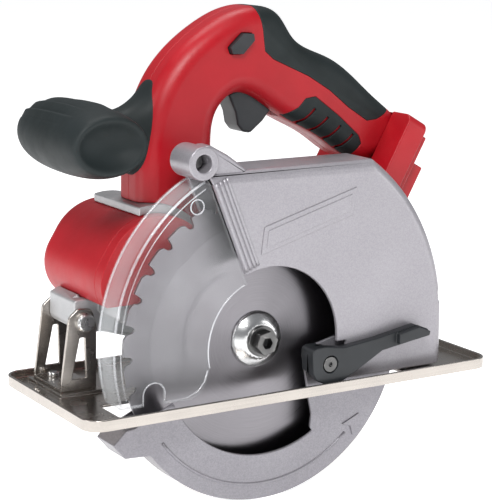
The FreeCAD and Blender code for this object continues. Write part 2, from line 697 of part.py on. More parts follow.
def sector(name, radius, start, end, low, high, centre=AXIS):
    """A pie slice between two angles; the spread stays under 180 degrees."""
    middle = f"(({start} + {end}) / 2)"
    spread = f"({radius} / cos(({end} - {start}) / 4))"
    corners = ((radius, start), (spread, f"({start} + {middle}) / 2"),
               (spread, f"({end} + {middle}) / 2"), (radius, end))
    points = [centre] + [polar(reach, angle, centre) for reach, angle in corners]
    return plate(name, points, low, high)


def make_upper_guard():
    """Cast guard: near wall with a window, round band, far wall and hinge boss."""
    outer = guard_block("guard_outer", "0", NEAR, FAR)
    near, low_edge = value(NEAR), value("guard_bottom")

    def on_near_face(edge):
        """True for the near face's edges, but for the lower and the front one."""
        box = edge.BoundBox
        flat = abs(box.YMin - near) < 0.01 and box.YLength < 0.01
        return flat and box.ZMax > low_edge + 1 and box.XMax > -59

    outer = rounded("guard_soft", outer, "guard_round", on_near_face)
    inner = guard_block("guard_inner", "guard_wall", f"({NEAR} + guard_wall)",
                        f"({FAR} - guard_wall)")
    below = box("guard_below", ("-60", f"({NEAR} + guard_wall)", "0"),
                ("guard_r - guard_wall", f"({FAR} - guard_wall)", "axis_height"))
    shell = cut("guard_shell", outer, join("guard_hollow", [inner, below]))
    window = cylinder("guard_window", "window_r", f"{NEAR} - 1", f"({NEAR} + guard_wall + 1)", AXIS)
    drop = box("guard_drop", ("-60", f"{NEAR} - 1", "0"),
               ("window_r + 6.5", f"({NEAR} + guard_wall + 1)", "axis_height - 4"))
    front = sector("guard_front", "190", "split_angle", "split_angle + 130",
                   f"{NEAR} - 1", f"({FAR} + 1)")
    notch = cylinder("guard_notch", "notch_r", f"{NEAR} - 1", f"({NEAR} + 7)",
                     ("guard_r + 1.6", "notch_z"))
    nose = cylinder("guard_nose_hole", "nose_r + 0.1", f"{FAR} - 9", f"({FAR} + 1)", AXIS)
    shell = cut("guard_open", shell, join("guard_openings", [window, drop, front, nose, notch]))
    spot = polar("boss_reach", "split_angle + 0.5")
    boss = cylinder("guard_boss", "boss_r", NEAR, "(blade_y + 5)", spot)
    bore = cylinder("guard_boss_bore", "5", f"{NEAR} - 1", f"({NEAR} + 14)", spot)
    under = cylinder("guard_boss_under", "clear_r + part_gap", f"{NEAR} - 1", f"({FAR} + 1)",
                     ("clear_shift", "(axis_height + clear_shift)"))
    boss = cut("guard_boss_cut", boss, under)
    stud = tube("clamp_boss", "7", "3", f"({FAR} - 0.5)", f"({FAR} + 4)", CLAMP)
    hole = cylinder("clamp_hole", "3", f"{FAR} - 5", f"({FAR} + 5)", CLAMP)
    whole = join("guard_all", [shell, boss, stud])
    node("upper_guard", cut("upper_guard_cut", whole, join("guard_bores", [bore, hole])))
    node("boss_screw", cylinder("boss_screw_head", "4.2", f"({NEAR} + 9)", f"({NEAR} + 14)", spot))


def make_clear_guard():
    """Clear front guard: near wall with a round window and an outer band."""
    low = f"({NEAR} + guard_wall - 0.2)"
    high = "(blade_y + clear_depth)"
    centre = ("clear_shift", "(axis_height + clear_shift)")
    outer = cylinder("clear_outer", "clear_r", low, high, centre)
    outer = rounded("clear_soft", outer, "clear_round",
                    lambda e: abs(e.BoundBox.YMax - value(low)) < 0.01)
    inner = cylinder("clear_inner", "clear_r - clear_wall", f"({low} + clear_wall)",
                     f"({high} + 1)", centre)
    shell = cut("clear_shell", outer, inner)
    window = cylinder("clear_window", "clear_window_r", f"{low} - 1", f"({low} + 5)", AXIS)
    arch = cylinder("clear_arch", "arch_r", f"{low} - 1", f"({low} + 5)", ("arch_x", "arch_z"))
    door = box("clear_door", ("arch_x - arch_r", f"{low} - 1", "0"),
               ("arch_x + arch_r", f"({low} + 5)", "arch_z"))
    sweep = ((-20, -9), (-39, -9), (-41.5, -18), (-45.5, -23), (-51, -25.8), (-51, -32), (-20, -32))
    corner = plate("clear_corner", [(str(x), f"axis_height + {z}") for x, z in sweep],
                   f"{low} - 1", f"({low} + 5)")
    shell = cut("clear_cut", shell, join("clear_openings", [window, arch, door, corner]))
    piece = sector("clear_sector", "150", "split_angle + 0.3", "split_angle + 105",
                   f"{low} - 1", f"({high} + 1)")
    floor = box("clear_floor", ("-140", f"{low} - 1", "clear_bottom"),
                ("60", f"({high} + 1)", "guard_top"))
    node("clear_guard", overlap("clear_guard_keep", [shell, piece, floor]))


def make_lower_guard():
    """Retracting guard: rim, near band, far disc with a hub, arm and lever neck."""
    rim = tube("lower_rim", "lower_r", "lower_r - lower_wall", LOWER_NEAR, LOWER_FAR, AXIS)
    near = tube("lower_near_band", "lower_r", "lower_inner", LOWER_NEAR,
                f"({LOWER_NEAR} + lower_wall)", AXIS)
    far = tube("lower_far_disc", "lower_r", "nose_r + fit_gap", f"({LOWER_FAR} - lower_wall)",
               LOWER_FAR, AXIS)
    whole = join("lower_whole", [rim, near, far])
    slices = [
        sector("lower_slice_a", "150", "-(360 - lip_angle)", "-(360 - lip_angle) / 2",
               f"{LOWER_NEAR} - 1", f"({LOWER_FAR} + 1)"),
        sector("lower_slice_b", "150", "-(360 - lip_angle) / 2 - 1", "tail_angle",
               f"{LOWER_NEAR} - 1", f"({LOWER_FAR} + 1)"),
    ]
    keep = overlap("lower_keep", [whole, join("lower_slices", slices)])
    hub = tube("lower_hub", "nose_r + 3", "nose_r + fit_gap", f"({LOWER_FAR} - lower_wall)",
               f"({LOWER_FAR} + 0.6)", AXIS)
    corners = ((25.5, -11.5), (25.6, -9), (26.8, -7.2), (29, -6), (48, -1.8), (72, -18), (66, -42),
               (36, -62), (31.5, -56), (32.4, -48), (30.3, -38))
    arm = plate("lower_arm", [(str(x), f"axis_height + {z}") for x, z in corners],
                LOWER_NEAR, f"({LOWER_NEAR} + lower_wall)")
    lip = plate("lower_lip", [
        polar("lower_r - 6", "lip_angle + 1"), polar("lower_r + 5", "lip_angle - 1"),
        polar("lower_r + 15.5", "lip_angle + 1"), polar("lower_r + 13", "lip_angle + 7"),
        polar("lower_r + 1", "lip_angle + 12"), polar("lower_r - 3", "lip_angle + 14"),
        polar("lower_r - 1.6", "lip_angle + 5"),
    ], LOWER_NEAR, LOWER_FAR)
    neck = cylinder("lower_neck", "lever_neck", f"({NEAR} - lever_gap)",
                    f"({LOWER_NEAR} + 0.5)", LEVER)
    bore = cylinder("lower_neck_bore", "screw_r", f"{NEAR} - 4", f"({LOWER_NEAR} - 1)", LEVER)
    casting = join("lower_casting", [keep, hub, arm, neck, lip])
    node("lower_guard", cut("lower_guard_cut", casting, bore))
    ring_low = f"({LOWER_FAR} + 0.8)"
    coil = DOC.addObject("Part::Torus", "spring_coil")
    bind(coil, {"Radius1": "nose_r + 2.2", "Radius2": "0.6"})
    place(coil, ("0", f"{ring_low} + 0.75", "axis_height"), "Y")
    node("guard_return_spring", coil)


def make_lever():
    """Thumb lever screwed to the lower guard, outside the upper guard's wall."""
    back = f"({NEAR} - lever_gap)"
    face = f"({back} - lever_thick)"
    blade_side = ((24.6, 12), (24, 24.3), (24.8, 26.2), (27, 27.2), (33, 27.4), (46, 25.4),
                  (70, 28), (98.5, 32.8), (107.6, 28.8), (107, 25.4), (92, 22.6), (74, 20),
                  (54, 9.4), (46, 5.4), (40, 4.2), (33, 4.6), (27, 7.6))
    body = plate("lever_plate", [(str(x), str(z)) for x, z in blade_side], face, back)
    block = ((24.6, 12.4), (24, 24.3), (24.8, 26.2), (27, 27.2), (33, 27.3), (41, 22),
             (41.3, 13), (37, 9.6), (30, 9))
    skirt = plate("lever_skirt", [(str(x), str(z)) for x, z in block], back,
                  f"({LOWER_NEAR} - part_gap)")
    room = cylinder("lever_neck_room", "lever_neck + part_gap", back,
                    f"({LOWER_NEAR} + 1)", LEVER)
    rest = plate("lever_rest", [("84", "23"), ("106.4", "26"), ("107", "28.6"), ("98.4", "32.2"),
                                ("84", "29.6")], f"{face} - 3.4", f"({face} + 1)")
    sink = cylinder("lever_sink", "5.2", f"{face} - 5", f"({face} + 2.5)", LEVER)
    bore = cylinder("lever_bore", "screw_r", f"{face} - 5", f"({back} + 1)", LEVER)
    node("guard_lever", cut("guard_lever_cut", join("lever_blank", [body, skirt, rest]),
                            join("lever_bores", [sink, bore, room])))
    node("lever_screw", turned("lever_screw_body", LEVER, [
        ("0", "1.3"), ("0", "4.6"), ("2.2", "4.6"), ("2.2", "screw_r"),
        ("lever_thick + 1.5", "screw_r"), ("lever_thick + 1.5", "0"), ("1.4", "0"),
        ("1.4", "1.3"),
    ], f"{face} + 0.3"))


# ---------------------------------------------------------------- motor

def make_motor():
    """Can, magnets, wound armature, commutator, brushes, fan and bearings."""
    x, z = MOTOR
    start = "(case_rear + cover_thick)"
    at = lambda offset: f"({start} + {offset})"
    flat = box("housing_flat", ("-130", "-60", "0"),
               ("0", f"{start} + part_gap", "arm_top + part_gap"))
    shell = hull("housing_drum", housing(), "ring_end + part_gap / 3", "motor_end")
    far = lambda e: abs(e.BoundBox.YMin - value("motor_end")) < 0.01
    shell = rounded("housing_dome", shell, "motor_round", far)
    space = hull("housing_space", housing("-motor_wall"), "ring_end - 1", "motor_end - motor_wall")
    far_inside = lambda e: abs(e.BoundBox.YMin - value("motor_end - motor_wall")) < 0.01
    space = rounded("housing_hollow", space, "motor_round - motor_wall", far_inside)
    seat = tube("housing_seat", "11", "8", "(motor_end - 9)", "(motor_end - 1)", MOTOR)
    shell = join("housing_walls", [cut("housing_shell", shell, space), seat])
    room = hull("housing_room", train("case_wall + part_gap"), f"{CASE_FRONT} - 1",
                f"{start} + part_gap")
    node("motor_housing", cut("motor_housing_cut", shell, join("housing_rooms", [room, flat])))
    front = hull("ring_drum", housing(), f"({FAR} - 2.2)", "ring_end")
    hollow = hull("ring_hollow", housing("-motor_wall"), f"({FAR} - 0.9)", "ring_end + 1")
    room = hull("ring_room", train("case_wall + part_gap"), f"{CASE_FRONT} - 1",
                f"{start} + part_gap")
    below = box("ring_flat", ("-130", "-60", "0"), ("0", "60", "arm_top + part_gap"))
    node("motor_front_ring", cut("motor_front_ring_cut", front,
                                 join("ring_rooms", [hollow, room, below])))
    node("motor_can", tube("can", "motor_r - motor_wall - part_gap", "29", at(6), at(34), MOTOR))
    magnets = tube("magnet_ring", "28.9", "26.4", at(8), at(32), MOTOR)
    gap = box("magnet_gap", (f"{x} - 40", at(7), f"{z} - 5"), (f"{x} + 40", at(33), f"{z} + 5"))
    node("magnets", cut("magnet_pair", magnets, gap))
    armature = new_body("armature_body", (x, at(9), z))
    disc = new_sketch(armature, "XZ_Plane", "armature_disc")
    ring(disc, "0", "0", "25.6")
    ring(disc, "0", "0", "motor_shaft_r")
    pad(armature, disc, "22", reverse=True)
    groove = new_sketch(armature, "XZ_Plane", "armature_groove")
    outline(groove, [("15", "-1.8"), ("23.5", "-2.6"), ("23.5", "-0.9"), ("27", "-0.9"),
                     ("27", "0.9"), ("23.5", "0.9"), ("23.5", "2.6"), ("15", "1.8")])
    pattern = armature.newObject("PartDesign::PolarPattern", "armature_grooves")
    pattern.Originals = [pocket_through(armature, groove)]
    pattern.Axis = (disc, ["N_Axis"])
    pattern.Angle = 360
    pattern.Occurrences = 12
    armature.Tip = pattern
    node("armature_core", armature)
    node("armature_windings", group("winding_ends", [
        tube("winding_front", "22", "9", at(5.2), at(9), MOTOR),
        tube("winding_rear", "22", "9", at(31), at(35), MOTOR),
    ]))
    node("commutator", tube("commutator_drum", "9.5", "motor_shaft_r", at(35), at(41.5), MOTOR))
    node("motor_shaft", cylinder("motor_shaft_rod", "motor_shaft_r", "case_rear - 9",
                                 "(motor_end - 3.6)", MOTOR))
    hub = tube("fan_hub", "8", "motor_shaft_r", at(0.8), at(4.6), MOTOR)
    disc = tube("fan_disc", "26", "7.5", at(3.6), at(4.6), MOTOR)
    vanes = []
    foot = Vector(value(x), value(at(0.8)), value(z))
    for index in range(8):
        vane = solid(f"fan_vane{index}", Part.makeBox(19, 2.9, 1.2, Vector(7, 0, -0.6)))
        vane.Placement = Placement(foot, Rotation(Vector(0, 1, 0), 45 * index))
        vanes.append(vane)
    node("cooling_fan", join("fan_whole", [hub, disc, *vanes]))
    node("motor_front_bearing", bearing("motor_front", "motor_shaft_r", "11",
                                        "case_rear", "cover_thick", MOTOR))
    node("motor_rear_bearing", bearing("motor_rear", "motor_shaft_r", "8",
                                       "(motor_end - 8.6)", "5", MOTOR))
    sleeves, brushes = [], []
    for index, side in enumerate((1, -1)):
        low, high = (9.9, 24) if side > 0 else (-24, -9.9)
        outer = box(f"holder_out{index}", (f"{x} + {low}", at(35.4), f"{z} - 4.6"),
                    (f"{x} + {high}", at(41.4), f"{z} + 4.6"))
        inner = box(f"holder_in{index}", (f"{x} + {low - 1}", at(36.4), f"{z} - 3.4"),
                    (f"{x} + {high + 1}", at(40.4), f"{z} + 3.4"))
        sleeves.append(cut(f"brush_sleeve{index}", outer, inner))
        low, high = (9.6, 21) if side > 0 else (-21, -9.6)
        brushes.append(box(f"brush{index}", (f"{x} + {low}", at(36.5), f"{z} - 3.3"),
                           (f"{x} + {high}", at(40.3), f"{z} + 3.3")))
    node("brush_holders", group("brush_holder_pair", sleeves))
    node("carbon_brushes", group("carbon_brush_pair", brushes))


# ---------------------------------------------------------------- handle

TOP_LINE = ((-60, 92), (-60, 138), (-54, 166), (-43, 187), (-14, 212), (14, 222),
            (32, 218), (44, 203), (70, 190), (100, 168), (113.5, 157.5))
SEAM_TOP = (118, 151)
UNDER_LINE = ((103, 126), (84, 128), (62, 142), (32, 158), (2, 171), (-9, 161),
              (-12, 148), (-11, 120), (-13, 92))
RUBBER_EDGE = ((16, 219), (18.5, 208), (20, 196), (26, 191), (51, 180), (66, 171),
               (80, 160), (94, 151), (101, 151.5), (112, 156), (125, 165), (60, 215),
               (30, 235), (14, 232))
PAD_EDGE = ((27, 158), (36, 157.5), (44, 161.8), (49, 167), (56, 167.8), (73, 155.4),
            (88, 142.5), (90, 137.5), (82, 126), (60, 130), (30, 150))
SLIT = ((41.9, 150.8), (49.2, 154), (56, 160.5))
SLIT_STEP = (9.3, -5.7)
BUTTON_EDGE = ((-5, 199.2), (3.6, 207), (10.4, 206.6), (11, 202.8), (3.4, 195.2), (-3.6, 195.4))


def smooth(points):
    curve = Part.BSplineCurve()
    curve.interpolate(points)
    return curve


def moved_in(line, inset):
    """The line's points moved square to it, towards the inside of the handle."""
    points = [Vector(x, 0, z) for x, z in line]
    curve = smooth(points)
    inside = []
    for point in points:
        along = curve.tangent(curve.parameter(point))[0]
        inside.append(point + Vector(along.z, 0, -along.x) * inset)
    return inside


def handle_block(inset, half, radius):
    """The handle's volume, moved in by inset, with its long edges rounded."""
    top = moved_in(TOP_LINE, inset)
    under = moved_in(UNDER_LINE, inset)
    seam_low, seam_top = (Vector(x, 0, z) for x, z in (UNDER_LINE[0], SEAM_TOP))
    along = (seam_low - seam_top).normalize()
    heel = seam_top + Vector(along.z, 0, -along.x) * inset
    wire = Part.Wire([
        smooth(top).toShape(), Part.makeLine(top[-1], heel), Part.makeLine(heel, under[0]),
        smooth(under).toShape(), Part.makeLine(under[-1], top[0]),
    ])
    block = Part.Face(wire).extrude(Vector(0, 2 * half, 0))
    block.translate(Vector(0, -half, 0))
    if radius:
        long_edges = [edge for edge in block.Edges
                      if edge.BoundBox.YLength < 0.01 and edge.Length > 80]
        block = block.makeFillet(radius, long_edges)
    return block


def prism(points, low, high):
    corners = [Vector(x, low, z) for x, z in points]
    return Part.Face(Part.makePolygon(corners + corners[:1])).extrude(Vector(0, high - low, 0))


def slit(index, half):
    """One curved slit through the side pads."""
    centre = [Vector(x + index * SLIT_STEP[0], 0, z + index * SLIT_STEP[1]) for x, z in SLIT]
    curve = smooth(centre)
    above, below = [], []
    for point in centre:
        along = curve.tangent(curve.parameter(point))[0]
        square = Vector(-along.z, 0, along.x) * value("slit_width / 2")
        above.append(point + square)
        below.append(point - square)
    corners = [(point.x, point.z) for point in above + below[::-1]]
    return prism(corners, -half - 1, half + 1)


def make_handle():
    """Two shells with rubber skins, split in the middle plane."""
    half, skin = value("handle_half"), value("skin")
    block = handle_block(0, half, value("handle_round"))
    core = handle_block(skin, half - skin, value("handle_round - skin"))
    cavity = handle_block(value("handle_wall"), value("cavity_half"), 0)
    rubber = block.common(prism(RUBBER_EDGE, -half - 1, half + 1)).cut(core)
    pads = block.common(prism(PAD_EDGE, -half - 1, half + 1)).cut(core)
    middle = Part.makeBox(400, 2 * (half - 7), 400, Vector(-200, -half + 7, 0))
    pads = pads.cut(middle)
    slits = Part.makeCompound([slit(index, half) for index in range(4)])
    node("grip_overmould", solid("grip_rubber", rubber))
    node("side_pads", solid("side_rubber", pads.cut(slits)))
    x, z = (value(text) for text in MOTOR)
    along = Vector(0, 1, 0)
    drum = Part.makeCylinder(value("motor_r + 5 + part_gap"), 200, Vector(x, -100, z), along)
    case = Part.makeCylinder(value(f"{IDLER_LOBE} + case_wall + part_gap"), 200,
                             Vector(value(IDLER[0]), -100, value(IDLER[1])), along)
    slot_half = value("trigger_half + part_gap")
    opening = Part.makeBox(36, 2 * slot_half, 45, Vector(-0.4, -slot_half, 138))
    grow = 1 + value("part_gap / button_r")
    middle_x, middle_z = (sum(corner) / len(BUTTON_EDGE) for corner in zip(*BUTTON_EDGE))
    button = prism([(middle_x + (bx - middle_x) * grow, middle_z + (bz - middle_z) * grow)
                    for bx, bz in BUTTON_EDGE], -50, 50)
    spots = ((-36, 128), (-30, 178), (96, 148), (44, 178))
    rods = lambda radius, low, high: [
        Part.makeCylinder(radius, high - low, Vector(sx, low, sz), along) for sx, sz in spots]
    posts = Part.makeCompound(rods(5, -half + 1, half - 1)).common(core)
    bores = Part.makeCompound(rods(value("screw_r"), -half + 7, half))
    sinks = Part.makeCompound(rods(3.8, half - 4.5, half + 1))
    shell = block.cut(rubber.fuse(pads)).cut(cavity).fuse(posts)
    for tool in (drum, case, opening, button, bores, sinks):
        shell = shell.cut(tool)
    gap = 0.05
    left = shell.common(Part.makeBox(400, 100, 400, Vector(-200, -100 - gap, 0)))
    right = shell.common(Part.makeBox(400, 100, 400, Vector(-200, gap, 0)))
    node("handle_shell_left", solid("shell_left", left))
    node("handle_shell_right", solid("shell_right", right))
    node("handle_screws", group("handle_screw_set", [
        turned(f"handle_screw{index}", (f"{sx}", f"{sz}"), [
            ("-handle_half + 7.2", "0"), ("-handle_half + 7.2", "screw_r"),
            ("handle_half - 4.5", "screw_r"), ("handle_half - 4.5", "3.6"),
            ("handle_half - 2", "3"), ("handle_half - 2", "0"),
        ]) for index, (sx, sz) in enumerate(spots)]))
    saddle = tube("saddle_ring", "motor_r + 5", "motor_r + part_gap", f"({FAR} + 6)", "36", MOTOR)
    keep = box("saddle_keep", (f"{MOTOR[0]} - 9", "-60", f"{MOTOR[1]} + 20"),
               (f"{MOTOR[0]} + 44", "60", "180"))
    lobe = cylinder("saddle_lobe", f"{IDLER_LOBE} + case_wall + part_gap", "-60", "60", IDLER)
    node("handle_saddle", cut("saddle", overlap("saddle_arc", [saddle, keep]), lobe))


def make_trigger_group():
    """Trigger, switch module, lock-off button and their springs."""
    node("trigger", plate("trigger_body", [
        ("1", "171"), ("6.7", "173"), ("17", "173"), ("32", "162"), ("25", "153.8"),
        ("16.6", "147"), ("11", "148"), ("7.6", "152.4"), ("6.2", "159.6"),
    ], "-trigger_half", "trigger_half"))
    switch = box("switch_box", ("16", "-10", "183"), ("42", "10", "197"))
    node("trigger_switch", switch)
    spring = tube("trigger_spring_tube", "3", "2", "173.4", "182.6", ("14", "0"), "Z")
    node("trigger_spring", spring)
    low = "(-handle_half - 3)"
    high = "(handle_half + 3)"
    bar = plate("button_bar", [(str(x), str(z)) for x, z in BUTTON_EDGE], low, high)
    node("lock_off_button", bar)


def make_pommel():
    """Cross-wise front knob: rigid core and rubber skin, on a neck from the column."""
    ends = ((0, 9), (2.5, 5), (8, 2), (20, 0))
    spine = ((-96, 14), (-78, 15), (-62, 23), (-46, 30))

    def whole(name, inset):
        """The outside shape, made smaller all round by the inset."""
        steps = [(f"pommel_half - {back} - {inset}", f"pommel_r - {less} - {inset}")
                 for back, less in ends]
        left = [(f"-({y})", radius) for y, radius in steps]
        profile = [(left[0][0], "0"), *left, *reversed(steps), (steps[0][0], "0")]
        knob = turned(name + "_knob", ("pommel_x", "pommel_z"), profile)
        above = [(x, f"pommel_z + {high} - {inset}") for x, high in spine]
        below = [(x, f"pommel_z - {high} + {inset}") for x, high in spine]
        half = f"(neck_half - {inset})"
        neck = plate(name + "_neck", above + below[::-1], f"-{half}", half)
        soft = rounded(name + "_soft_neck", neck, "neck_round",
                       lambda edge: edge.BoundBox.YLength < 0.01 and edge.BoundBox.XLength > 1)
        return join(name, [knob, soft])

    def column(name):
        return solid(name, handle_block(0, value("handle_half"), value("handle_round")))

    skin = cut("pommel_skin_shape", whole("pommel_outside", "0"),
               whole("pommel_room", "pommel_skin"))
    node("pommel_core", cut("pommel_core_cut", whole("pommel_inside", "pommel_skin"),
                            column("pommel_column")))
    node("pommel_grip", cut("pommel_grip_cut", skin, column("pommel_column_again")))


def make_foot():
    """Battery foot: plate across the grip's end, side rails and the terminal tower."""
    lean = Rotation(Vector(0, 1, 0), -(90 - value("foot_slope")))
    half = value("foot_half")
    out = value("rail_out")
    top = Vector(125, 0, 146)

    def slab(low, high):
        """A box in the foot's own frame: x off the plane, y across, z along it."""
        size = Vector(*high) - Vector(*low)
        shape = Part.makeBox(size.x, size.y, size.z, Vector(*low))
        shape.Placement = Placement(top, lean.inverted())
        return shape

    base = slab((-15, -half, -58), (0, half, 3))
    corners = [e for e in base.Edges if e.Length < 16 and e.Length > 14]
    base = base.makeFillet(6, corners)
    tower = slab((-6, -half + 9, -52), (out, half - 9, -20))
    recess = slab((3, -half + 15, -46), (out + 1, half - 15, -19))
    rails = [slab((-1, side * (half - 6) - 2.5, -55), (5, side * (half - 6) + 2.5, -4))
             for side in (-1, 1)]
    whole = base.multiFuse([tower] + rails).cut(recess)
    grip = handle_block(0, value("handle_half"), 0)
    start = Vector(0, value(f"{FAR} - 60 + 1.2"), value("axis_height"))
    guard = Part.makeCylinder(value("guard_r + 1.2"), 60, start, Vector(0, 1, 0))
    whole = whole.cut(grip).cut(guard)
    node("battery_foot", solid("foot", whole))
    block = slab((3.2, -14, -44), (9, 14, -24))
    blades = [slab((9, y - 0.5, -42), (out - 1, y + 0.5, -28)) for y in (-10, -3.5, 3.5, 10)]
    node("terminal_block", solid("terminals_base", block))
    node("terminal_blades", solid("terminals", Part.makeCompound(blades)))


# ---------------------------------------------------------------- depth adjustment, lock

def make_quadrant():
    """Slotted arc on the shoe, clamped to the upper guard by a bolt and a lever."""
    low, high = f"({FAR} + 4.4)", f"({FAR} + 7)"
    x, z = CLAMP
    arc = tube("quadrant_arc", "quadrant_r + 9", "quadrant_r - 9", low, high, PIN)
    keep = sector("quadrant_sector", "quadrant_r + 60", "-18", "quadrant_swing - 2",
                  low, high, PIN)
    floor = box("quadrant_floor", ("0", low, "shoe_floor"), ("200", high, "200"))
    slot_arc = tube("quadrant_slot_arc", "quadrant_r + 3.3", "quadrant_r - 3.3",
                    f"({low} - 1)", f"({high} + 1)", PIN)
    slot_keep = sector("quadrant_slot_sector", "quadrant_r + 60", "-7.4",
                       "quadrant_swing - 4.4", f"({low} - 2)", f"({high} + 2)", PIN)
    slot = overlap("quadrant_slot", [slot_arc, slot_keep])
    leaf = overlap("quadrant_leaf", [arc, keep, floor])
    flange = box("quadrant_flange", ("pin_x + quadrant_r - 20", low, "shoe_floor"),
                 ("pin_x + quadrant_r + 8", f"({high} + 12)", "shoe_floor + 2.6"))
    node("depth_quadrant", cut("quadrant_cut", join("quadrant_blank", [leaf, flange]), slot))
    heads = [cylinder(f"quadrant_rivet{i}", "3", "shoe_floor + 2.6", "shoe_floor + 4.6",
                      (f"pin_x + quadrant_r - {dx}", f"({high} + 6)"), "Z")
             for i, dx in enumerate((14, 0))]
    node("shoe_rivets", group("shoe_rivet_set", RIVETS + heads))
    bolt_low = f"({FAR} - 2.6)"
    node("clamp_bolt", turned("clamp_bolt_body", (x, z), [
        ("-2.6", "0"), ("-2.6", "5"), ("-0.6", "5"), ("-0.6", "2.95"), ("19", "2.95"), ("19", "0"),
    ], bolt_low))
    body = plate("depth_lever_arm", [
        (f"{x} - 6", f"{z} - 6"), (f"{x} + 8", f"{z} - 6"), (f"{x} + 42", f"{z} + 2"),
        (f"{x} + 46", f"{z} + 7"), (f"{x} + 40", f"{z} + 11"), (f"{x} + 6", f"{z} + 7.5"),
        (f"{x} - 6", f"{z} + 6"),
    ], f"({high} + 3.2)", f"({high} + 9.2)")
    hub = cylinder("depth_lever_hub", "8", f"({high} + 0.3)", f"({high} + 9.2)", (x, z))
    bore = cylinder("depth_lever_bore", "2.95 + fit_gap", f"({high} - 1)", f"({high} + 12)", (x, z))
    node("depth_lock_lever", cut("depth_lever", join("depth_lever_blank", [body, hub]), bore))


def make_spindle_lock():
    """Sprung pin through the gear case cover, facing a hole of the spindle gear."""
    start = f"({CASE_FRONT} + guard_wall + 12.5)"
    head = f"case_rear + cover_thick + lock_travel + 0.5 - {start}"
    node("spindle_lock_button", turned("spindle_lock_body", LOCK, [
        ("0", "0"), ("0", "lock_r"), (head, "lock_r"), (head, "6"), (f"{head} + 5", "6"),
        (f"{head} + 6", "5"), (f"{head} + 6", "0"),
    ], start))


# ---------------------------------------------------------------- build, check, write

def broken(thing):
    return [state for state in thing.State if state in ("Invalid", "Error")]


def main():
    for make in (make_shoe, make_front_bracket, make_gear_case, make_gears, make_spindle,
                 make_blade, make_upper_guard, make_clear_guard, make_lower_guard, make_lever,
                 make_motor, make_handle, make_trigger_group, make_pommel, make_foot,
                 make_quadrant, make_spindle_lock):
        make()
        DOC.recompute()
    faults = [f"{thing.Label}: {broken(thing)}" for thing in DOC.Objects if broken(thing)]
    for name, thing in NODES.items():
        if thing.Shape.isNull() or not thing.Shape.isValid():
            faults.append(f"{name}: no valid shape")
    if faults:
        raise SystemExit("\n".join(faults))
    os.makedirs("parts", exist_ok=True)
    for name, thing in NODES.items():
        thing.Shape.exportStep(f"parts/{name}.step")
    print(len(NODES), "sub-parts written")


main()
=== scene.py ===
"""The looks of a cordless metal-cutting circular saw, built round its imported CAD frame.

Metres, in the frame of the CAD: X to the rear, Y away from the blade's side, Z up, and the
sole of the shoe at Z = 0. The blade axis is X = 0.
"""

import json
import math

import bmesh
import bpy
from mathutils import Matrix, Vector

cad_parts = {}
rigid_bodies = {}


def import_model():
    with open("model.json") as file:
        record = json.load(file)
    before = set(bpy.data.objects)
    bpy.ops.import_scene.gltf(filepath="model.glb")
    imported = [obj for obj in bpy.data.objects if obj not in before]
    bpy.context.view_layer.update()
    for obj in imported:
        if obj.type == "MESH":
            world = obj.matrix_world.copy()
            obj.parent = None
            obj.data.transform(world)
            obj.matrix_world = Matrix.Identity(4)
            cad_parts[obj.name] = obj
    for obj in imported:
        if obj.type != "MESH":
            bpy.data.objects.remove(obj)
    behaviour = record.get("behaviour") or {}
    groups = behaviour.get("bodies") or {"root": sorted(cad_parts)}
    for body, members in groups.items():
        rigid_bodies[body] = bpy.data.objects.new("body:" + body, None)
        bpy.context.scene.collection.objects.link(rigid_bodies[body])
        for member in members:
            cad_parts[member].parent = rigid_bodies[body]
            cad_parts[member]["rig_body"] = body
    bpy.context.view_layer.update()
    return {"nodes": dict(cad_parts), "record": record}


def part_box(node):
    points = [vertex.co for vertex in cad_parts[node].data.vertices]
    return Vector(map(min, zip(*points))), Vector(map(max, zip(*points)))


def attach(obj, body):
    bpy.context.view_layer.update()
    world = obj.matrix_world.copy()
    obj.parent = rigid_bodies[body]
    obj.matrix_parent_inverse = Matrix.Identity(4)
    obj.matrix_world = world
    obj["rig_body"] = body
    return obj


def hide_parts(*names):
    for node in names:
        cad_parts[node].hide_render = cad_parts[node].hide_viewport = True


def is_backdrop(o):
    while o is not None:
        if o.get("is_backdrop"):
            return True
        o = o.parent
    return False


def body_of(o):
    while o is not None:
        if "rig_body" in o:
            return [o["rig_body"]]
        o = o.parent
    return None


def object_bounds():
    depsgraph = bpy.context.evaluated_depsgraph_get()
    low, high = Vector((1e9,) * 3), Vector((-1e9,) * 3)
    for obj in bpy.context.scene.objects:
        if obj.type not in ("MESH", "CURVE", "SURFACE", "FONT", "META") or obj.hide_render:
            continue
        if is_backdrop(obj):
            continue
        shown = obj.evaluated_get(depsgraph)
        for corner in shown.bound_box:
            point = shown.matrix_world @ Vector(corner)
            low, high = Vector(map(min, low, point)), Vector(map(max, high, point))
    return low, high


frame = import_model()
MM = 0.001
SHOWN = frame["nodes"]


# ---------------------------------------------------------------- places

def middle(node):
    low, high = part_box(node)
    return (low + high) / 2


AXIS = middle("blade")          # centre of the blade
BLADE_Y = AXIS.y

# Sizes of the CAD that the trim follows, in millimetres and degrees.
JOINT_ANGLE = 112      # where the clear guard meets the metal guard, from the rear
LOWER_NEAR = 12.5      # blade plane to the near wall of the lower guard
ARROW_R = 84.5         # rotation arrow, from the blade axis
KNOB_R = 22            # front knob
KNOB_Z = 151           # front knob above the sole


# ---------------------------------------------------------------- materials

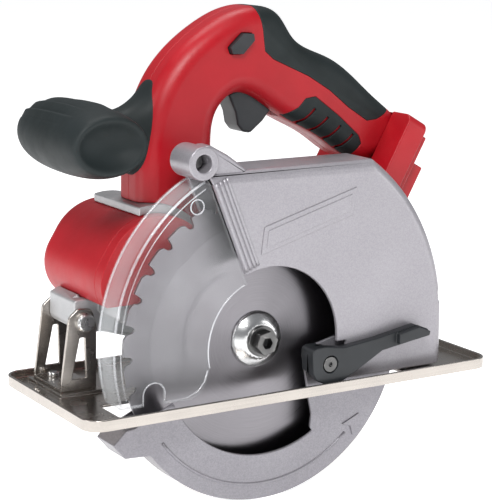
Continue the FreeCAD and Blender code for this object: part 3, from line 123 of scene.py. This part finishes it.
class Nodes:
    """A node material, put together a few lines at a time."""

    def __init__(self, name):
        self.material = bpy.data.materials.new(name)
        self.material.use_nodes = True
        self.tree = self.material.node_tree
        self.shader = self.tree.nodes["Principled BSDF"]
        self.output = self.tree.nodes["Material Output"]
        self.place = self.add("ShaderNodeTexCoord").outputs["Object"]

    def add(self, kind, **settings):
        made = self.tree.nodes.new(kind)
        for key, value in settings.items():
            setattr(made, key, value)
        return made

    def link(self, source, target):
        self.tree.links.new(source, target)

    def stretched(self, scale):
        mapping = self.add("ShaderNodeMapping")
        mapping.inputs["Scale"].default_value = scale
        self.link(self.place, mapping.inputs["Vector"])
        return mapping.outputs["Vector"]

    def noise(self, scale, detail=2.0, vector=None, rough=0.5):
        made = self.add("ShaderNodeTexNoise")
        made.inputs["Scale"].default_value = scale
        made.inputs["Detail"].default_value = detail
        made.inputs["Roughness"].default_value = rough
        self.link(vector or self.place, made.inputs["Vector"])
        return made.outputs["Fac"]

    def ramp(self, factor, low, high, start=0.3, end=0.7):
        """The factor from start to end, turned into a number from low to high."""
        made = self.add("ShaderNodeMapRange")
        made.inputs["From Min"].default_value = start
        made.inputs["From Max"].default_value = end
        made.inputs["To Min"].default_value = low
        made.inputs["To Max"].default_value = high
        self.link(factor, made.inputs["Value"])
        return made.outputs["Result"]

    def math(self, operation, first, second):
        made = self.add("ShaderNodeMath", operation=operation)
        for socket, value in zip(made.inputs, (first, second)):
            if isinstance(value, (int, float)):
                socket.default_value = value
            else:
                self.link(value, socket)
        return made.outputs[0]

    def mix(self, factor, first, second, blend="MIX"):
        made = self.add("ShaderNodeMix", data_type="RGBA", blend_type=blend)
        for socket, value in zip((made.inputs[0], made.inputs[6], made.inputs[7]),
                                 (factor, first, second)):
            if isinstance(value, (int, float)):
                socket.default_value = value
            elif isinstance(value, tuple):
                socket.default_value = (*value, 1.0)
            else:
                self.link(value, socket)
        return made.outputs[2]

    def bump(self, height, depth, strength=1.0, below=None):
        made = self.add("ShaderNodeBump")
        made.inputs["Strength"].default_value = strength
        made.inputs["Distance"].default_value = depth
        self.link(height, made.inputs["Height"])
        if below is not None:
            self.link(below, made.inputs["Normal"])
        return made.outputs["Normal"]

    def set(self, **values):
        names = {"metal": "Metallic", "rough": "Roughness", "ior": "IOR", "coat": "Coat Weight",
                 "coat_rough": "Coat Roughness", "specular": "Specular IOR Level",
                 "aniso": "Anisotropic", "alpha": "Alpha", "colour": "Base Color",
                 "normal": "Normal"}
        for key, value in values.items():
            socket = self.shader.inputs[names[key]]
            if isinstance(value, (int, float)):
                socket.default_value = value
            elif isinstance(value, tuple):
                socket.default_value = (*value, 1.0)
            else:
                self.link(value, socket)
        return self

    def edges(self, colour, edge_wear_and_highlight, amount):
        """A paler tone along convex edges, broken up by noise: partly edge wear, partly a painted
        highlight where the edges catch the light.
        """
        edge = self.add("ShaderNodeNewGeometry").outputs["Pointiness"]
        sharp = self.ramp(edge, 0.0, amount, 0.51, 0.57)
        patchy = self.math("MULTIPLY", sharp, self.ramp(self.noise(140.0, 4.0), 0.3, 1.0))
        return self.mix(patchy, colour, edge_wear_and_highlight)


def plastic(name, dark, light, rough, grain, depth, specular=0.5, edge_wear_and_highlight=None):
    """Moulded plastic or rubber: cloudy tone, fine spark-eroded texture, paler edges that are
    partly wear and partly painted highlight.
    """
    made = Nodes(name)
    tone = made.mix(made.ramp(made.noise(38.0, 3.0), 0.0, 1.0), dark, light)
    if edge_wear_and_highlight:
        tone = made.edges(tone, edge_wear_and_highlight, 0.35)
    fine = made.noise(grain, 3.0, rough=0.6)
    soft = made.noise(grain * 0.22, 2.0)
    normal = made.bump(fine, depth, 0.8, made.bump(soft, depth * 0.8, 0.5))
    gloss = made.ramp(made.noise(90.0, 4.0), rough - 0.05, rough + 0.06)
    made.set(colour=tone, rough=gloss, specular=specular, normal=normal)
    return made.material


def metal(name, dark, light, rough, brush=(60.0, 60.0, 60.0), depth=0.00001, metallic=1.0,
          grain=900.0, spread=0.06, edge_wear_and_highlight=None):
    """Metal with brushing along the axis whose scale is small, and cloudy polish."""
    made = Nodes(name)
    lines = made.noise(1.0, 5.0, made.stretched(brush), 0.65)
    cloud = made.noise(26.0, 4.0)
    tone = made.mix(made.ramp(made.math("ADD", made.math("MULTIPLY", lines, 0.5),
                                        made.math("MULTIPLY", cloud, 0.5)), 0.0, 1.0), dark, light)
    # Paler convex edges: partly wear, partly painted highlight.
    if edge_wear_and_highlight:
        tone = made.edges(tone, edge_wear_and_highlight, 0.5)
    normal = made.bump(lines, depth, 0.6, made.bump(made.noise(grain, 2.0), depth * 0.5, 0.4))
    gloss = made.ramp(made.noise(55.0, 5.0), rough - spread, rough + spread)
    made.set(colour=tone, rough=gloss, metal=metallic, normal=normal)
    return made.material


def paint(name, dark, light, rough, flake=1600.0, metallic=0.35, peel=0.00004, edge_wear_and_highlight=None):
    """Metallic paint: flakes, slight orange peel, and paler edges, partly rubbed wear and partly
    painted highlight.
    """
    made = Nodes(name)
    cells = made.add("ShaderNodeTexVoronoi")
    cells.inputs["Scale"].default_value = flake
    made.link(made.place, cells.inputs["Vector"])
    glitter = made.add("ShaderNodeSeparateColor")
    made.link(cells.outputs["Color"], glitter.inputs[0])
    tone = made.mix(made.ramp(made.noise(22.0, 3.0), 0.0, 1.0), dark, light)
    tone = made.mix(made.math("MULTIPLY", glitter.outputs[0], 0.07), tone, (1.0, 1.0, 1.0))
    if edge_wear_and_highlight:
        tone = made.edges(tone, edge_wear_and_highlight, 0.45)
    skin = made.bump(made.noise(330.0, 2.0), peel, 0.7,
                     made.bump(glitter.outputs[1], 0.000004, 0.4))
    gloss = made.ramp(made.noise(70.0, 4.0), rough - 0.05, rough + 0.07)
    made.set(colour=tone, rough=gloss, metal=metallic, normal=skin, coat=0.25)
    made.set(coat_rough=0.25)
    return made.material


def round_the_axis(made, centre):
    """Radius from a line along Y, and the angle about it, from object coordinates."""
    apart = made.add("ShaderNodeSeparateXYZ")
    made.link(made.place, apart.inputs[0])
    x = made.math("SUBTRACT", apart.outputs[0], centre.x)
    z = made.math("SUBTRACT", apart.outputs[2], centre.z)
    radius = made.math("SQRT", made.math("ADD", made.math("MULTIPLY", x, x),
                                         made.math("MULTIPLY", z, z)), 0)
    return radius, made.math("ARCTAN2", z, x)


def blade_steel():
    """Ground blade steel: circular grinding lines and painted shade over the outer band."""
    made = Nodes("blade_steel")
    radius, angle = round_the_axis(made, AXIS)
    flat = made.add("ShaderNodeCombineXYZ")
    made.link(made.math("MULTIPLY", radius, 2400.0), flat.inputs[0])
    made.link(made.math("MULTIPLY", angle, 1.6), flat.inputs[1])
    lines = made.noise(1.0, 4.0, flat.outputs[0], 0.7)
    tone = made.mix(made.ramp(lines, 0.0, 1.0), (0.20, 0.19, 0.205), (0.25, 0.24, 0.255))
    # Painted shade: the blade's outer band, the teeth zone seen through the clear guard's
    # shoulder, is darkened.
    outer = made.ramp(radius, 0.0, 0.45, 0.069, 0.070)
    tone = made.mix(outer, tone, (0.16, 0.15, 0.165))
    tone = made.mix(made.ramp(made.noise(18.0, 4.0), 0.0, 0.2), tone, (0.30, 0.29, 0.30))
    made.set(colour=tone, metal=1.0, rough=made.ramp(lines, 0.27, 0.36),
             normal=made.bump(lines, 0.000005, 0.4), aniso=0.85)
    tangent = made.add("ShaderNodeTangent", direction_type="RADIAL", axis="Y")
    made.link(tangent.outputs[0], made.shader.inputs["Tangent"])
    return made.material


def clear_plastic():
    """Clear polycarbonate: see-through face on, with a painted reflection that makes it brighter
    where it is seen edge on.
    """
    made = Nodes("clear_plastic")
    facing = made.add("ShaderNodeLayerWeight")
    facing.inputs["Blend"].default_value = 0.42
    veil = made.ramp(made.noise(45.0, 4.0), 0.02, 0.06)
    # Painted reflection: the plastic turns more opaque and whitish where it is seen edge on.
    rim = made.ramp(facing.outputs["Facing"], 0.0, 0.62, 0.35, 1.0)
    made.set(colour=(0.82, 0.85, 0.87), alpha=made.math("ADD", veil, rim), ior=1.58,
             rough=made.ramp(made.noise(60.0, 4.0), 0.03, 0.10), specular=0.9)
    made.set(normal=made.bump(made.noise(12.0, 2.0), 0.0012, 0.25))
    return made.material


def clear_edge_highlight():
    """Painted highlights for the rounded edges of the clear guard: a whitish, partly see-through
    material where those edges gather the light.
    """
    made = Nodes("clear_edge_highlight")
    bright = made.ramp(made.noise(30.0, 3.0), 0.16, 0.60)
    made.set(colour=(0.74, 0.75, 0.78), alpha=bright, ior=1.58, specular=0.9,
             rough=made.ramp(made.noise(70.0, 4.0), 0.04, 0.12),
             normal=made.bump(made.noise(60.0, 3.0), 0.0004, 0.3))
    return made.material


MATERIALS = {
    "red_plastic": plastic("red_plastic", (0.32, 0.002, 0.007), (0.38, 0.003, 0.010), 0.40,
                           1500.0, 0.00004, 0.38, (0.50, 0.02, 0.02)),
    "black_rubber": plastic("black_rubber", (0.006, 0.010, 0.010), (0.011, 0.016, 0.017), 0.58,
                            1100.0, 0.00005, 0.28, (0.05, 0.06, 0.062)),
    "black_plastic": plastic("black_plastic", (0.012, 0.014, 0.016), (0.020, 0.023, 0.026), 0.42,
                             1700.0, 0.00003, 0.4, (0.05, 0.05, 0.055)),
    "silver_paint": paint("silver_paint", (0.285, 0.27, 0.295), (0.305, 0.29, 0.315), 0.34,
                          peel=0.000012),
    "cast_grey": paint("cast_grey", (0.33, 0.33, 0.34), (0.42, 0.42, 0.43), 0.45, metallic=0.6,
                       peel=0.00012, edge_wear_and_highlight=(0.7, 0.7, 0.7)),
    "guard_grey": paint("guard_grey", (0.215, 0.205, 0.228), (0.235, 0.225, 0.248), 0.38,
                        metallic=0.5, peel=0.000012),
    "stainless": metal("stainless", (0.40, 0.37, 0.34), (0.54, 0.50, 0.46), 0.26,
                       (12.0, 900.0, 900.0), 0.00002),
    "blade_steel": blade_steel(),
    "dark_steel": metal("dark_steel", (0.06, 0.06, 0.062), (0.13, 0.13, 0.13), 0.34,
                        edge_wear_and_highlight=(0.45, 0.44, 0.42)),
    "bright_steel": metal("bright_steel", (0.55, 0.55, 0.55), (0.72, 0.72, 0.72), 0.26,
                          edge_wear_and_highlight=(0.85, 0.85, 0.85)),
    "clear_plastic": clear_plastic(),
    "clear_edge_highlight": clear_edge_highlight(),
    "copper": metal("copper", (0.45, 0.17, 0.08), (0.62, 0.27, 0.14), 0.32),
    "magnet": metal("magnet", (0.07, 0.07, 0.075), (0.12, 0.12, 0.12), 0.5, metallic=0.6),
}


def give(piece, finish):
    piece.data.materials.clear()
    piece.data.materials.append(MATERIALS[finish])
    return piece


SLOT_OF = {part["node"]: part["material_slot"] for part in frame["record"]["subparts"]}
for node_name, node_object in SHOWN.items():
    give(node_object, SLOT_OF[node_name])


# ---------------------------------------------------------------- piece helpers

def show(name, mesh, finish, body):
    """Put a mesh in the scene as a piece that rides on a body."""
    made = bpy.data.objects.new(name, mesh)
    bpy.context.scene.collection.objects.link(made)
    for face in mesh.polygons:
        face.use_smooth = True
    give(made, finish)
    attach(made, body)
    return made


def from_bmesh(name, shape, finish, body):
    mesh = bpy.data.meshes.new(name)
    shape.to_mesh(mesh)
    shape.free()
    return show(name, mesh, finish, body)


def bevelled(piece, width, segments=3, angle=32.0):
    """Rounded edges whose flat neighbours stay flat."""
    edge = piece.modifiers.new("edges", "BEVEL")
    edge.width = width
    edge.segments = segments
    edge.limit_method = "ANGLE"
    edge.angle_limit = math.radians(angle)
    edge.use_clamp_overlap = False
    edge.miter_outer = "MITER_ARC"
    flat = piece.modifiers.new("flats", "WEIGHTED_NORMAL")
    flat.keep_sharp = True
    return piece


def softened(node, width, segments=3, angle=32.0, finish=None):
    """A piece with the shape of a CAD node and rounded edges, in the node's place."""
    source = SHOWN[node]
    shape = bmesh.new()
    shape.from_mesh(source.data)
    bmesh.ops.remove_doubles(shape, verts=shape.verts, dist=0.000002)
    bmesh.ops.dissolve_limit(shape, angle_limit=math.radians(0.6), verts=shape.verts,
                             edges=shape.edges, use_dissolve_boundaries=False)
    made = from_bmesh(node + "_finished", shape, finish or SLOT_OF[node], body_of(source)[0])
    bevelled(made, width, segments, angle)
    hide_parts(node)
    return made


def applied(piece):
    """The mesh with its modifiers worked in."""
    graph = bpy.context.evaluated_depsgraph_get()
    mesh = bpy.data.meshes.new_from_object(piece.evaluated_get(graph))
    piece.modifiers.clear()
    piece.data = mesh
    for face in mesh.polygons:
        face.use_smooth = True
    return piece


def lofted(rings):
    """A closed skin through rings of as many points each."""
    shape = bmesh.new()
    rows = [[shape.verts.new(point) for point in ring] for ring in rings]
    count = len(rows[0])
    for low, high in zip(rows, rows[1:]):
        for i in range(count):
            j = (i + 1) % count
            shape.faces.new((low[i], low[j], high[j], high[i]))
    shape.faces.new(rows[0][::-1])
    shape.faces.new(rows[-1])
    bmesh.ops.recalc_face_normals(shape, faces=shape.faces)
    return shape


def slab(points, low, high):
    """A flat piece drawn as (x, z) points in millimetres, from y = low to y = high."""
    shape = bmesh.new()
    near = [shape.verts.new((x * MM, low * MM, z * MM)) for x, z in points]
    far = [shape.verts.new((x * MM, high * MM, z * MM)) for x, z in points]
    shape.faces.new(near)
    shape.faces.new(far[::-1])
    for i in range(len(points)):
        j = (i + 1) % len(points)
        shape.faces.new((near[i], near[j], far[j], far[i]))
    bmesh.ops.recalc_face_normals(shape, faces=shape.faces)
    return shape


def smooth_step(value, low, high):
    share = min(max((value - low) / (high - low), 0.0), 1.0)
    return share * share * (3 - 2 * share)


def strip(name, path, width, height, finish, body, segments=8):
    """A half-round raised rib along a path of points on the guard's near face."""
    rings = []
    for index, point in enumerate(path):
        before = path[max(index - 1, 0)]
        after = path[min(index + 1, len(path) - 1)]
        along = (after - before).normalized()
        side = along.cross(Vector((0, 1, 0))).normalized()
        ring = []
        for k in range(segments * 2):
            turn = math.pi * k / segments
            ring.append(point + side * (width / 2 * math.cos(turn))
                        + Vector((0, -height * math.sin(turn), 0)))
        rings.append(ring)
    return from_bmesh(name, lofted(rings), finish, body)


# ---------------------------------------------------------------- front knob

def front_knob():
    """Egg-shaped rubber knob with a thumb hollow, finger ridges and a flared neck."""
    low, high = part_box("pommel_grip")
    centre = Vector((low.x + KNOB_R * MM, 0.0, KNOB_Z * MM))
    around = 64
    stations = ((-41.5, 0.6, 0.4), (-42.2, 8, 5), (-44.8, 15, 9.5), (-48.4, 19, 12.8),
                (-50.0, 21, 14.8), (-48.4, 22.6, 16.6), (-42, 23.3, 18.4), (-32, 23.5, 20),
                (-15, 23.3, 21), (0, 23, 21), (15, 22.4, 20.4), (28, 20.8, 18.8),
                (38, 17.8, 15.9), (45, 13.2, 11.6), (49, 7.5, 6.6), (50.4, 0.6, 0.5))
    rings = []
    for y, deep, tall in stations:
        ring = []
        for k in range(around):
            turn = math.tau * k / around
            ring.append(centre + Vector((deep * math.cos(turn), y, tall * math.sin(turn))) * MM)
        rings.append(ring)
    knob = from_bmesh("knob_egg", lofted(rings), "black_rubber", "saw_body")
    knob.modifiers.new("round", "SUBSURF").levels = 1
    sections = ((-92, 166, 136, 17), (-80, 164.3, 137, 14), (-72, 164, 136, 13.4),
                (-65, 165.5, 131, 13.8), (-59, 169, 125, 14.6), (-54, 172.5, 121, 15.4),
                (-49, 179, 119, 15.8), (-43, 188, 118, 15.8))
    rings = []
    for x, top, bottom, half in sections:
        ring = []
        for k in range(40):
            turn = math.tau * k / 40
            across, up = math.cos(turn), math.sin(turn)
            ring.append(Vector((
                x, half * math.copysign(abs(across) ** 0.75, across),
                (top + bottom) / 2 + (top - bottom) / 2 * math.copysign(abs(up) ** 0.75, up),
            )) * MM)
        rings.append(ring)
    neck = from_bmesh("knob_neck", lofted(rings), "black_rubber", "saw_body")
    neck.modifiers.new("round", "SUBSURF").levels = 1
    applied(knob)
    applied(neck)
    shape = bmesh.new()
    shape.from_mesh(knob.data)
    shape.from_mesh(neck.data)
    for used in (knob, neck):
        bpy.data.objects.remove(used)
    whole = from_bmesh("front_knob_rubber", shape, "black_rubber", "saw_body")
    skin = whole.modifiers.new("skin", "REMESH")
    skin.mode = "VOXEL"
    skin.voxel_size = 0.9 * MM
    blend = whole.modifiers.new("blend", "SMOOTH")
    blend.factor = 0.5
    blend.iterations = 16
    applied(whole)
    mesh = whole.data
    ridge, first = math.radians(22), math.radians(28)
    moves = []
    for vertex in mesh.vertices:
        spot = vertex.co - centre
        turn = math.atan2(spot.z / 21, -spot.x / 23)
        step = (turn - first) / ridge
        share = step - math.floor(step)
        lift = share - smooth_step(share, 0.84, 1.0)
        within = smooth_step(step, 0, 0.25) * (1 - smooth_step(step, 3.9, 4.1))
        length = smooth_step(spot.y, -34 * MM, -16 * MM)
        length *= 1 - smooth_step(spot.y, 34 * MM, 44 * MM)
        near_knob = 1 - smooth_step(vertex.co.x, -84 * MM, -74 * MM)
        depth = 1.9 * MM * (lift - 0.5) * within * length * near_knob
        groove = abs(spot.y - 37 * MM)
        depth -= 0.5 * MM * (1 - smooth_step(groove, 0.2 * MM, 1.1 * MM))
        moves.append(vertex.normal * depth)
    for vertex, move in zip(mesh.vertices, moves):
        vertex.co += move
    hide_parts("pommel_grip", "pommel_core")


# ---------------------------------------------------------------- guards

def guard_point(radius, angle, y):
    """A point at a radius and an angle (degrees from the rear) round the blade axis."""
    turn = math.radians(angle)
    return Vector((AXIS.x + radius * MM * math.cos(turn), y,
                   AXIS.z + radius * MM * math.sin(turn)))


def guard_trim():
    """Ribs along the joint, the web behind the hinge boss and a plain raised badge."""
    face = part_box("upper_guard")[0].y
    split = math.radians(JOINT_ANGLE)
    square = Vector((math.sin(split), 0, -math.cos(split)))
    for index, offset in enumerate((1.3, 4.1, 6.9, 9.3)):
        tall = 1.3 if index < 3 else 0.8
        path = [guard_point(radius, JOINT_ANGLE, face + 0.2 * MM) + square * offset * MM
                for radius in range(48, 107, 4)]
        strip(f"joint_rib_{index}", path, 2.3 * MM, tall * MM, "silver_paint", "saw_body")
    web = slab([(-43, 149), (-38, 149), (-27, 143), (-15, 134.4), (-12, 131), (-38, 131)],
               -56.5, -42)
    bevelled(from_bmesh("boss_web", web, "silver_paint", "saw_body"), 2.6 * MM, 4)
    lean = math.radians(16)
    centre = Vector((25, 0, 102))
    for name, long, tall, low in (("badge_plate", 66, 15, 0.6), ("badge_field", 60, 9.5, 1.0)):
        corners = []
        for u, v in ((-1, -1), (1, -1), (1, 1), (-1, 1)):
            x = u * long / 2 + v * tall * 0.22
            z = v * tall / 2
            corners.append((centre.x + x * math.cos(lean) - z * math.sin(lean),
                            centre.z + x * math.sin(lean) + z * math.cos(lean)))
        plate = slab(corners, face / MM - low, face / MM + 0.5)
        bevelled(from_bmesh(name, plate, "silver_paint", "saw_body"), 0.45 * MM, 3)


def arc(centre, radius, start, end, y, steps=48):
    """Points on a circle in the XZ plane; centre and radius in millimetres, angles in degrees."""
    turns = [math.radians(start + (end - start) * k / steps) for k in range(steps + 1)]
    return [Vector((centre[0] + radius * math.cos(turn), y, centre[1] + radius * math.sin(turn)))
            * MM for turn in turns]


def clear_guard_trim():
    """Rounded beads along the edges of the clear guard, and round the boss moulded into it, in a
    whitish material that paints the highlights of those edges.
    """
    low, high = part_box("clear_guard")
    near, far = low.y / MM, high.y / MM
    shifted = (5, AXIS.z / MM + 5)
    flange = (0, AXIS.z / MM)
    sole = 6.3
    beads = {
        "rim_near": (arc(shifted, 104.2, 117, 196, near + 1.4), 1.5),
        "rim_far": (arc(shifted, 104.4, 117, 196, far - 0.8), 1.2),
        "rim_inside": (arc(shifted, 100.6, 118, 195, near + 0.5), 0.7),
        "window_edge": (arc(flange, 40.3, 114, 193, near + 0.2), 0.9),
        "arch_edge": ([Vector((-81.9, near + 0.2, sole)) * MM]
                      + arc((-75, 11.5), 6.9, 180, 0, near + 0.2, 20)
                      + [Vector((-68.1, near + 0.2, sole)) * MM], 0.9),
        "lip_front": ([Vector((x, near + 1.2, sole)) * MM for x in (-97, -92, -87, -82.4)], 1.5),
        "lip_rear": ([Vector((x, near + 0.6, sole + lift)) * MM
                      for x, lift in ((-67.6, 0), (-60, 0), (-53, 0.6), (-46.5, 3.4),
                                      (-42.4, 8.2), (-40.4, 14.5))], 0.9),
        "moulded_boss": (arc((-47.6, 115.5), 4.2, 0, 360, near + 0.2, 32), 0.8),
    }
    for name, (path, width) in beads.items():
        # The beads carry painted highlights.
        strip(name, path, width * MM, width / 2 * MM, "clear_edge_highlight", "saw_body")


def lower_guard_trim():
    """A raised rotation arrow on the near face of the retracting guard."""
    face = BLADE_Y - LOWER_NEAR * MM      # the lever's neck stands out past this wall
    path = [guard_point(ARROW_R, angle, face + 0.1 * MM) for angle in range(216, 316, 4)]
    strip("arrow_line", path, 1.8 * MM, 0.9 * MM, "guard_grey", "lower_guard_set")
    head = []
    half = 5.5
    for radius, angle in ((ARROW_R + half, 313.5), (ARROW_R, 322), (ARROW_R - half, 313.5),
                          (ARROW_R, 315.5)):
        point = guard_point(radius, angle, face)
        head.append((point.x / MM, point.z / MM))
    arrow = slab(head, face / MM - 0.9, face / MM + 0.3)
    bevelled(from_bmesh("arrow_head", arrow, "guard_grey", "lower_guard_set"), 0.3 * MM, 2)


ROUNDED = {
    "upper_guard": 1.0, "lower_guard": 0.7, "guard_lever": 0.7, "shoe": 0.5,
    "front_bracket": 0.55, "depth_quadrant": 0.5, "depth_lock_lever": 1.2,
    "motor_housing": 0.5, "motor_front_ring": 0.4, "gear_case": 1.0, "gear_case_cover": 1.0,
    "handle_saddle": 0.8, "battery_foot": 0.9, "trigger": 1.6, "terminal_block": 0.4,
    "outer_flange": 0.5, "blade_bolt": 0.4, "blade_washer": 0.3, "handle_screws": 0.25,
    "lever_screw": 0.3, "boss_screw": 0.6, "clamp_bolt": 0.3, "shoe_rivets": 0.5,
    "spindle_lock_button": 0.6, "handle_shell_left": 0.45, "handle_shell_right": 0.45,
    "grip_overmould": 0.5, "side_pads": 0.5, "depth_pivot_pin": 0.5, "gear_case_screws": 0.4,
    "clear_guard": 0.35,
}
for node_name, width in ROUNDED.items():
    softened(node_name, width * MM)
front_knob()
guard_trim()
clear_guard_trim()
lower_guard_trim()


# ---------------------------------------------------------------- studio

def area_light(name, at, towards, size, power, colour=(1.0, 1.0, 1.0)):
    lamp = bpy.data.lights.new(name, "AREA")
    lamp.shape = "RECTANGLE"
    lamp.size, lamp.size_y = size
    lamp.energy = power
    lamp.color = colour
    made = bpy.data.objects.new(name, lamp)
    made.location = at
    made.rotation_euler = (Vector(towards) - Vector(at)).to_track_quat("-Z", "Y").to_euler()
    bpy.context.scene.collection.objects.link(made)
    return made


def studio():
    low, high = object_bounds()
    size = 12.0
    made = bpy.data.meshes.new("floor")
    made.from_pydata([(-size, -size, low.z), (size, -size, low.z),
                      (size, size, low.z), (-size, size, low.z)], [], [(0, 1, 2, 3)])
    floor = bpy.data.objects.new("floor", made)
    bpy.context.scene.collection.objects.link(floor)
    pale = Nodes("pale_floor")
    pale.set(colour=(0.86, 0.86, 0.86), rough=0.7, specular=0.2)
    pale.shader.inputs["Emission Color"].default_value = (1.0, 1.0, 1.0, 1.0)
    pale.shader.inputs["Emission Strength"].default_value = 0.75
    made.materials.append(pale.material)
    floor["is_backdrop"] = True
    area_light("key", (-0.7, -1.1, 1.3), (0, 0, 0.08), (0.6, 0.6), 24)
    area_light("fill", (1.5, -1.3, 0.5), (0, 0, 0.08), (0.6, 1.2), 6)
    area_light("top", (0.1, 0.4, 1.6), (0, 0, 0.1), (1.0, 0.6), 12)
    area_light("front", (-1.5, 0.1, 0.5), (0, 0, 0.08), (0.5, 1.0), 7)
    world = bpy.data.worlds.new("studio")
    bpy.context.scene.world = world
    world.use_nodes = True
    world.node_tree.nodes["Background"].inputs[0].default_value = (0.80, 0.82, 0.86, 1.0)
    world.node_tree.nodes["Background"].inputs[1].default_value = 0.34
    bpy.context.scene.view_settings.view_transform = "Standard"


def camera():
    """From the left of the blade's side, a little above, as the photograph is taken."""
    place = Vector((-0.5025, -0.8509, 0.2791))
    target = Vector((-0.02517, -0.07215, 0.09182))
    roll = math.radians(0.54)
    lens = bpy.data.cameras.new("camera")
    lens.sensor_width = 36.0
    lens.lens = 120.9
    made = bpy.data.objects.new("camera", lens)
    forward = (target - place).normalized()
    right = forward.cross(Vector((0, 0, 1))).normalized()
    up = right.cross(forward)
    across = math.cos(roll) * right + math.sin(roll) * up
    above = -math.sin(roll) * right + math.cos(roll) * up
    turn = Matrix((across, above, -forward)).transposed()
    made.matrix_world = Matrix.Translation(place) @ turn.to_4x4()
    bpy.context.scene.collection.objects.link(made)
    bpy.context.scene.camera = made


studio()
camera()
